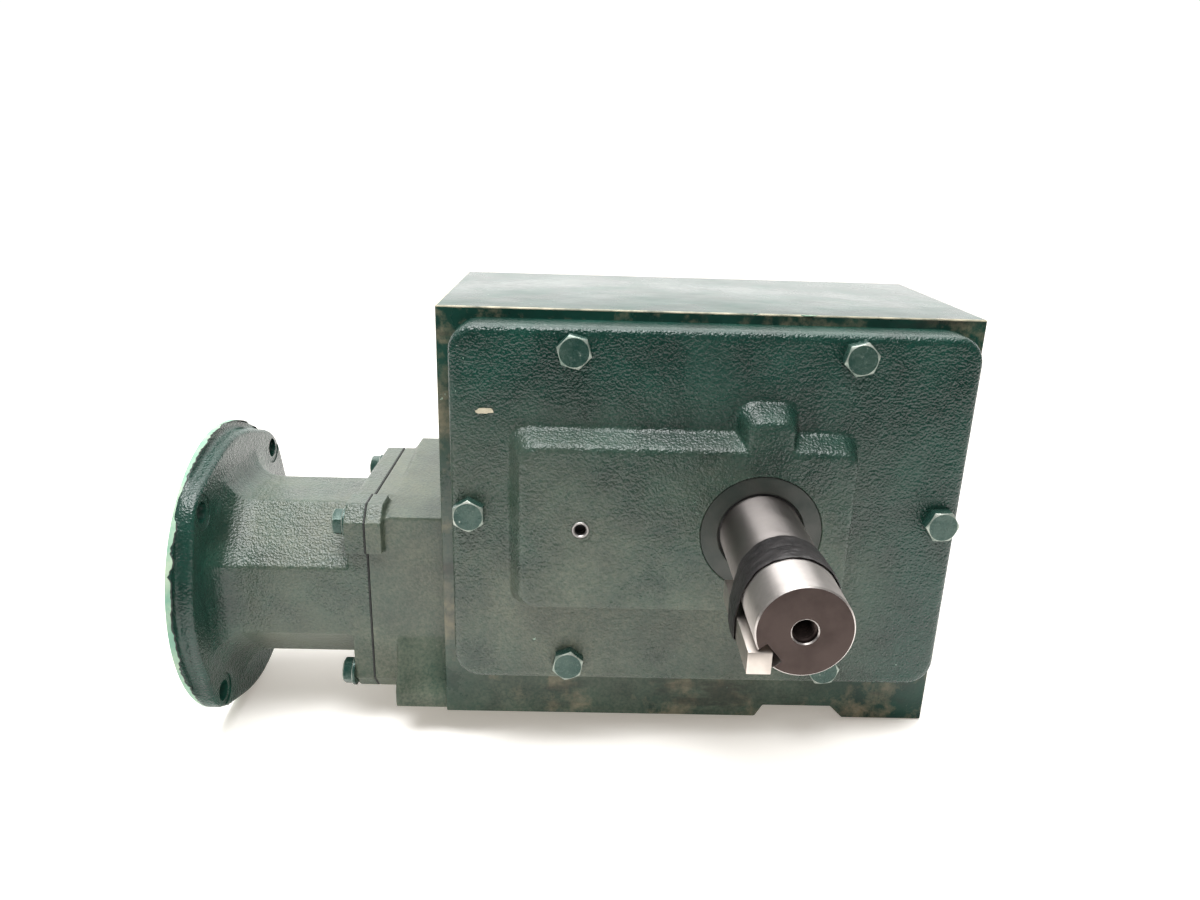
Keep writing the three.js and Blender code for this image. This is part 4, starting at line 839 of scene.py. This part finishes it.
def build_peeled_rim():
    """Thick paint torn at the edge of the motor flange, with a near-black sheet along the tear as painted
    shade in the crack.
    """
    count, rows = 360, 6
    vertices, faces = [], []
    for i in range(count):
        a = i * 2 * math.pi / count
        ragged = noise.noise(Vector((math.cos(a) * 9, math.sin(a) * 9, 3.0)))
        fine = noise.noise(Vector((math.cos(a) * 45, math.sin(a) * 45, 8.0)))
        reach = max(0.5, 2.4 + 2.4 * ragged + 1.4 * fine)
        for row in range(rows):
            t = row / (rows - 1)
            radius = RIM_RADIUS + 0.12 - 0.22 * t + 0.1 * fine * (1 - t)
            x = MOTOR_FACE + 0.05 + reach * t
            vertices.append((x, radius * math.cos(a), INPUT_AXIS.z + radius * math.sin(a)))
    for i in range(count):
        j = (i + 1) % count
        for row in range(rows - 1):
            faces.append((i * rows + row, j * rows + row, j * rows + row + 1, i * rows + row + 1))
    shrink, middle = 0.9985, INPUT_AXIS.z
    tear = [(x + 0.45 * (x - MOTOR_FACE) ** 0.3, y * shrink, middle + (z - middle) * shrink)
            for x, y, z in vertices]
    # A near-black copy of the ring, reaching past the tear: painted shade in the crack.
    crack = make_object("rim_crack_shade", tear, faces)
    ring = make_object("peeled_rim_paint", vertices, faces)
    for sheet, material in ((ring, PEELED), (crack, GASKET_AND_CRACK_SHADE)):
        thickened(sheet, 0.3)
        finish_piece(sheet, "case", "green_enamel", material, angle=60)


# ------------------------------------------------------------------ output shaft, key, tape and seal
KEYWAY_ANGLE, KEYWAY_HALF_WIDTH = 220, 4.85
# The steel is painted darker behind this place, which is on Y: painted shade next to the cover.
SHADED_FROM = -140
COLLAR_FRONT, COLLAR_BACK, GEAR_SEAT_BACK, SHAFT_BACK = -62.6, -51.3, -25.8, 54.5
COLLAR_RADIUS, GEAR_SEAT_RADIUS = 23.5, 20.9
THREAD_PITCH = 1.5


def build_shaft():
    origin, front = SHAFT_ORIGIN, SHAFT_FRONT
    profile = [(0, front), (SHAFT_RADIUS - 0.6, front), (SHAFT_RADIUS, front + 0.6),
               (SHAFT_RADIUS, -148), (SHAFT_RADIUS, COLLAR_FRONT), (COLLAR_RADIUS, COLLAR_FRONT),
               (COLLAR_RADIUS, COLLAR_BACK), (GEAR_SEAT_RADIUS, COLLAR_BACK),
               (GEAR_SEAT_RADIUS, GEAR_SEAT_BACK), (SHAFT_RADIUS, GEAR_SEAT_BACK),
               (SHAFT_RADIUS, SHAFT_BACK), (0, SHAFT_BACK)]
    shaft = revolve("shaft_body", profile, "Y", origin, 160)
    angle = math.radians(KEYWAY_ANGLE)
    across = Vector((-math.sin(angle), math.cos(angle))) * KEYWAY_HALF_WIDTH
    out = Vector((math.cos(angle), math.sin(angle)))
    side_fade = [out * 14 + across, out * 14 - across, out * 24 - across, out * 24 + across]
    keyway = prism("keyway", [tuple(p) for p in side_fade], "Y", front - 2, front + 64, origin)
    drilled = [(0, front - 1), (6.5, front - 1), (5.0, front + 0.5), (5.0, front + 22), (0, front + 25)]
    centre_hole = revolve("centre_hole", drilled, "Y", origin, 48)
    cut(shaft, keyway, centre_hole)
    finish_piece(shaft, "output_train", "ground_steel", SHAFT_STEEL, "output_shaft", angle=30)
    shaft.data.materials.append(END_STEEL)
    shaft.data.materials.append(SHADED_REAR_STEEL)
    for face in shaft.data.polygons:
        # Faces next to the cover take the darker steel, which is painted shade.
        if face.center.y > SHADED_FROM * MM:
            face.material_index = 2
        from_axis = Vector((face.center.x / MM - SHAFT_AXIS.x, face.center.z / MM - SHAFT_AXIS.z)).length
        end_face = face.normal.y < -0.9 and face.center.y < (front + 0.5) * MM
        in_hole = from_axis < 5.3
        if end_face or in_hole:
            face.material_index = 1
    threads = []
    for turn in range(11):
        y = front + 2.2 + turn * THREAD_PITCH
        ridge = [(5.05, y), (4.25, y + 0.55), (4.25, y + 0.75), (5.05, y + 1.3)]
        threads.append(revolve(f"thread_{turn + 1}", ridge, "Y", origin, 48))
    finish_piece(join(threads[0], *threads[1:]), "output_train", "ground_steel", END_STEEL, angle=25)


def build_key():
    low, high = span("output_key")
    outline = [(low.x, low.z), (high.x, low.z), (high.x, high.z), (low.x, high.z)]
    key = prism("square_key", outline, "Y", low.y, high.y)
    bevelled(key, 0.35, 2)
    finish_piece(key, "output_train", "ground_steel", KEY_STEEL, "output_key", angle=25)


def tape_ring(grow, steps=180):
    """The outline of a band pulled tight over the shaft and the loose key, about the shaft axis."""
    low, high = span("output_key")
    x, z = SHAFT_AXIS.x, SHAFT_AXIS.z
    radius = SHAFT_RADIUS + grow
    left, bottom = low.x - x - grow, low.z - z - grow
    outer = Vector((left, bottom))
    upper, inner = Vector((left, high.z - z + grow)), Vector((high.x - x + grow, bottom))
    outline = []
    for i in range(steps):
        a = i * 2 * math.pi / steps
        ahead = Vector((math.cos(a), math.sin(a)))
        reach = radius
        for corner in (outer, upper, inner):
            reach = max(reach, hull_reach(ahead, radius, corner))
        for first, second in ((outer, upper), (outer, inner)):
            reach = max(reach, segment_reach(ahead, first, second))
        outline.append((reach * ahead.x, reach * ahead.y))
    return outline


def segment_reach(ahead, first, second):
    """How far a ray from the axis goes before it crosses the line between two points, or 0."""
    edge = second - first
    cross = ahead.x * edge.y - ahead.y * edge.x
    if abs(cross) < 1e-9:
        return 0.0
    t = (first.x * edge.y - first.y * edge.x) / cross
    s = (first.x * ahead.y - first.y * ahead.x) / cross
    return t if t > 0 and -1e-6 <= s <= 1 + 1e-6 else 0.0


def hull_reach(ahead, radius, corner):
    """How far the ray goes to the tangent lines from a corner to the shaft's circle, or 0."""
    distance = corner.length
    if distance <= radius:
        return 0.0
    spread = math.acos(radius / distance)
    base = math.atan2(corner.y, corner.x)
    best = 0.0
    for sign in (-1, 1):
        touch = Vector((math.cos(base + sign * spread), math.sin(base + sign * spread))) * radius
        best = max(best, segment_reach(ahead, corner, touch))
    return best


def ripple(u, v, w, scale):
    """Smooth noise across the tape, at a scale in waves per millimetre."""
    return noise.noise(Vector((u * scale, v * scale, w)))


def build_tape():
    """Two wraps of tape, one over the other, each with its own slant and creases."""
    low, high = span("key_retaining_tape")
    x, z = SHAFT_AXIS.x, SHAFT_AXIS.z
    length = high.y - low.y
    inner = tape_ring(0.25)

    def wrap(name, start, end, lift, slant, wobble):
        rows = 14
        rings = []
        for row in range(rows):
            t = row / (rows - 1)
            ring = []
            edge = min(t, 1 - t)
            crown = 0.35 * min(1.0, edge * 8)
            for i, (u, v) in enumerate(inner):
                a = math.atan2(v, u)
                wave = ripple(u, v, t * 5 + lift, 0.25) + 0.5 * ripple(u, v, t * 14, 0.6)
                edge_wave = ripple(u, v, lift * 7 + (0 if t < 0.5 else 5), 0.12)
                shift = slant * math.cos(a - 1.2) + wobble * edge_wave
                scale = 1 + (lift + crown + 0.26 * wave) / math.hypot(u, v)
                y = low.y + length * (start + (end - start) * t) + shift
                ring.append((x + u * scale, min(max(y, low.y), high.y), z + v * scale))
            rings.append(ring)
        count = len(inner)
        vertices = [p for ring in rings for p in ring]
        faces = []
        for r in range(rows - 1):
            for i in range(count):
                j = (i + 1) % count
                faces.append((r * count + i, r * count + j, (r + 1) * count + j, (r + 1) * count + i))
        return thickened(make_object(name, vertices, faces), 0.22)

    under = wrap("key_tape_under", 0.28, 0.92, 0.15, 1.5, 0.8)
    over = wrap("key_tape_over", 0.06, 0.55, 0.55, -1.6, 0.9)
    finish_piece(under, "output_train", "black_tape", TAPE, "key_retaining_tape", angle=60)
    finish_piece(over, "output_train", "black_tape", TAPE, angle=60)


def build_seals():
    """The shaft seal with its lip and the bead of paint round it, and the seal of the input shaft."""
    face, back = SEAL_LOW.y, SEAL_HIGH.y
    profile = [(SEAL_RADIUS, back), (SEAL_RADIUS, face + 0.8), (SEAL_RADIUS - 0.9, face),
               (20.7, face), (20.2, face + 0.5), (20.2, face + 2.4),
               (SHAFT_RADIUS + 0.25, face + 2.4), (SHAFT_RADIUS + 0.25, back)]
    ring = revolve("output_seal_ring", profile, "Y", SHAFT_ORIGIN, 144)
    finish_piece(ring, "case", "seal_case", SEAL_SKIN, "output_seal", angle=30)
    edge = [(SHAFT_RADIUS + 0.1, face + 1.2), (SHAFT_RADIUS + 0.95, face + 1.6),
            (SHAFT_RADIUS + 0.95, face + 2.3), (SHAFT_RADIUS + 0.1, face + 2.3)]
    lip = revolve("output_seal_lip", edge, "Y", SHAFT_ORIGIN, 144)
    finish_piece(lip, "case", "seal_case", SEAL_LIP_AND_HOLE_SHADE, angle=30)
    bead = [(SEAL_RADIUS - 0.55, face + 0.6)]
    bead += [(SEAL_RADIUS + 0.05 + 0.6 * math.cos(a), face - 0.05 - 0.45 * math.sin(a))
             for a in (math.pi, 2.3, 1.57, 0.8, 0.0)]
    bead.append((SEAL_RADIUS + 0.65, face + 0.6))
    paint = revolve("seal_paint_bead", bead, "Y", SHAFT_ORIGIN, 144)
    finish_piece(paint, "case", "green_enamel", COVER_PAINT, angle=60)
    low, high = span("input_seal")
    profile = [(22, high.x), (22, low.x + 0.8), (21.2, low.x), (17.5, low.x), (16.4, low.x + 2.5),
               (15.3, low.x + 3), (15.3, high.x)]
    ring = revolve("input_seal_ring", profile, "X", INPUT_ORIGIN, 96)
    finish_piece(ring, "case", "seal_case", SEAL_SKIN, "input_seal", angle=30)


QUILL_BORE = 7.94


def build_input_shaft():
    """The hollow input shaft with its bore and keyway for the motor's shaft."""
    low, high = span("input_shaft")
    profile = [(0, low.x), (13.6, low.x), (15, low.x + 1.4), (15, -187), (17.8, -186.5),
               (17.8, -137.5), (12.4, -133.2), (12.4, -117.8), (9.4, -117.8), (9.4, high.x), (0, high.x)]
    shaft = revolve("quill_shaft", profile, "X", INPUT_ORIGIN, 96)
    bottom = low.x + 46
    hollow = [(0, low.x - 1), (9.2, low.x - 1), (QUILL_BORE, low.x + 0.8), (QUILL_BORE, bottom), (0, bottom)]
    bore = revolve("bore", hollow, "X", INPUT_ORIGIN, 64)
    slot = [(-2.4, 0), (2.4, 0), (2.4, 10.2), (-2.4, 10.2)]
    keyway = prism("keyway", slot, "X", low.x - 2, bottom, INPUT_ORIGIN)
    cut(shaft, bore, keyway)
    finish_piece(shaft, "input_train", "gear_steel", GEAR_STEEL, "input_shaft", angle=30)


FLAKE_THICKNESS = 0.45


def build_flakes():
    """Loose flakes of cream and mint paint left along the machined edges and on the cover."""
    random.seed(11)
    edge = CASE_TOP - 0.5
    spots = [
        ((-105, COVER_FRONT - 0.05, 176), (9, 3)),
        ((45, CASE_FRONT + 1, edge), (9, 4)),
        ((110, CASE_FRONT + 2, edge), (12, 4)),
        ((88, CASE_FRONT + 3, edge), (7, 3)),
        ((-110, CASE_BACK - 5, edge), (10, 5)),
        ((20, CASE_FRONT + 1, edge), (4, 2)),
        ((-60, CASE_FRONT + 1.5, edge), (5, 2)),
    ]
    for index, (place, (length, width)) in enumerate(spots):
        flat = place[1] < COVER_FRONT + 1
        top, count = [], 14
        for i in range(count):
            a = i * 2 * math.pi / count
            ragged = 0.7 + 0.45 * random.random()
            u, v = length / 2 * ragged * math.cos(a), width / 2 * ragged * math.sin(a)
            if flat:
                top.append((place[0] + u, place[1], place[2] + v))
            else:
                top.append((place[0] + u, place[1] + v, place[2]))
        lift = Vector((0, -FLAKE_THICKNESS, 0)) if flat else Vector((0, 0, FLAKE_THICKNESS))
        rings = [top, [tuple(Vector(p) + lift) for p in top]]
        flake = loft(f"paint_flake_{index + 1}", rings)
        finish_piece(flake, "case", "green_enamel", CREAM if index % 2 == 0 else PEELED, angle=30)


INNER_MATERIALS = {
    "gear_steel": GEAR_STEEL,
    "raw_iron": IRON,
    "ground_steel": SHAFT_STEEL,
    "gasket_paper": GASKET_AND_CRACK_SHADE,
    "seal_case": SEAL_SKIN,
    "plug_brass": BRASS,
    "painted_bolt": BOLT_PAINT,
    "black_tape": TAPE,
    "green_enamel": CASTING,
}


def dress_nodes():
    """Gives every CAD node that stays the procedural material of its slot."""
    slots = {row["node"]: row["material_slot"] for row in frame["record"]["subparts"]}
    for name, obj in frame["nodes"].items():
        obj.data.materials.clear()
        obj.data.materials.append(INNER_MATERIALS[slots[name]])


dress_nodes()
build_case()
build_nose()
build_rear_caps()
build_plugs()
build_cover()
build_gaskets()
build_bolts()
build_adapter()
build_peeled_rim()
build_shaft()
build_key()
build_tape()
build_seals()
build_input_shaft()
build_flakes()
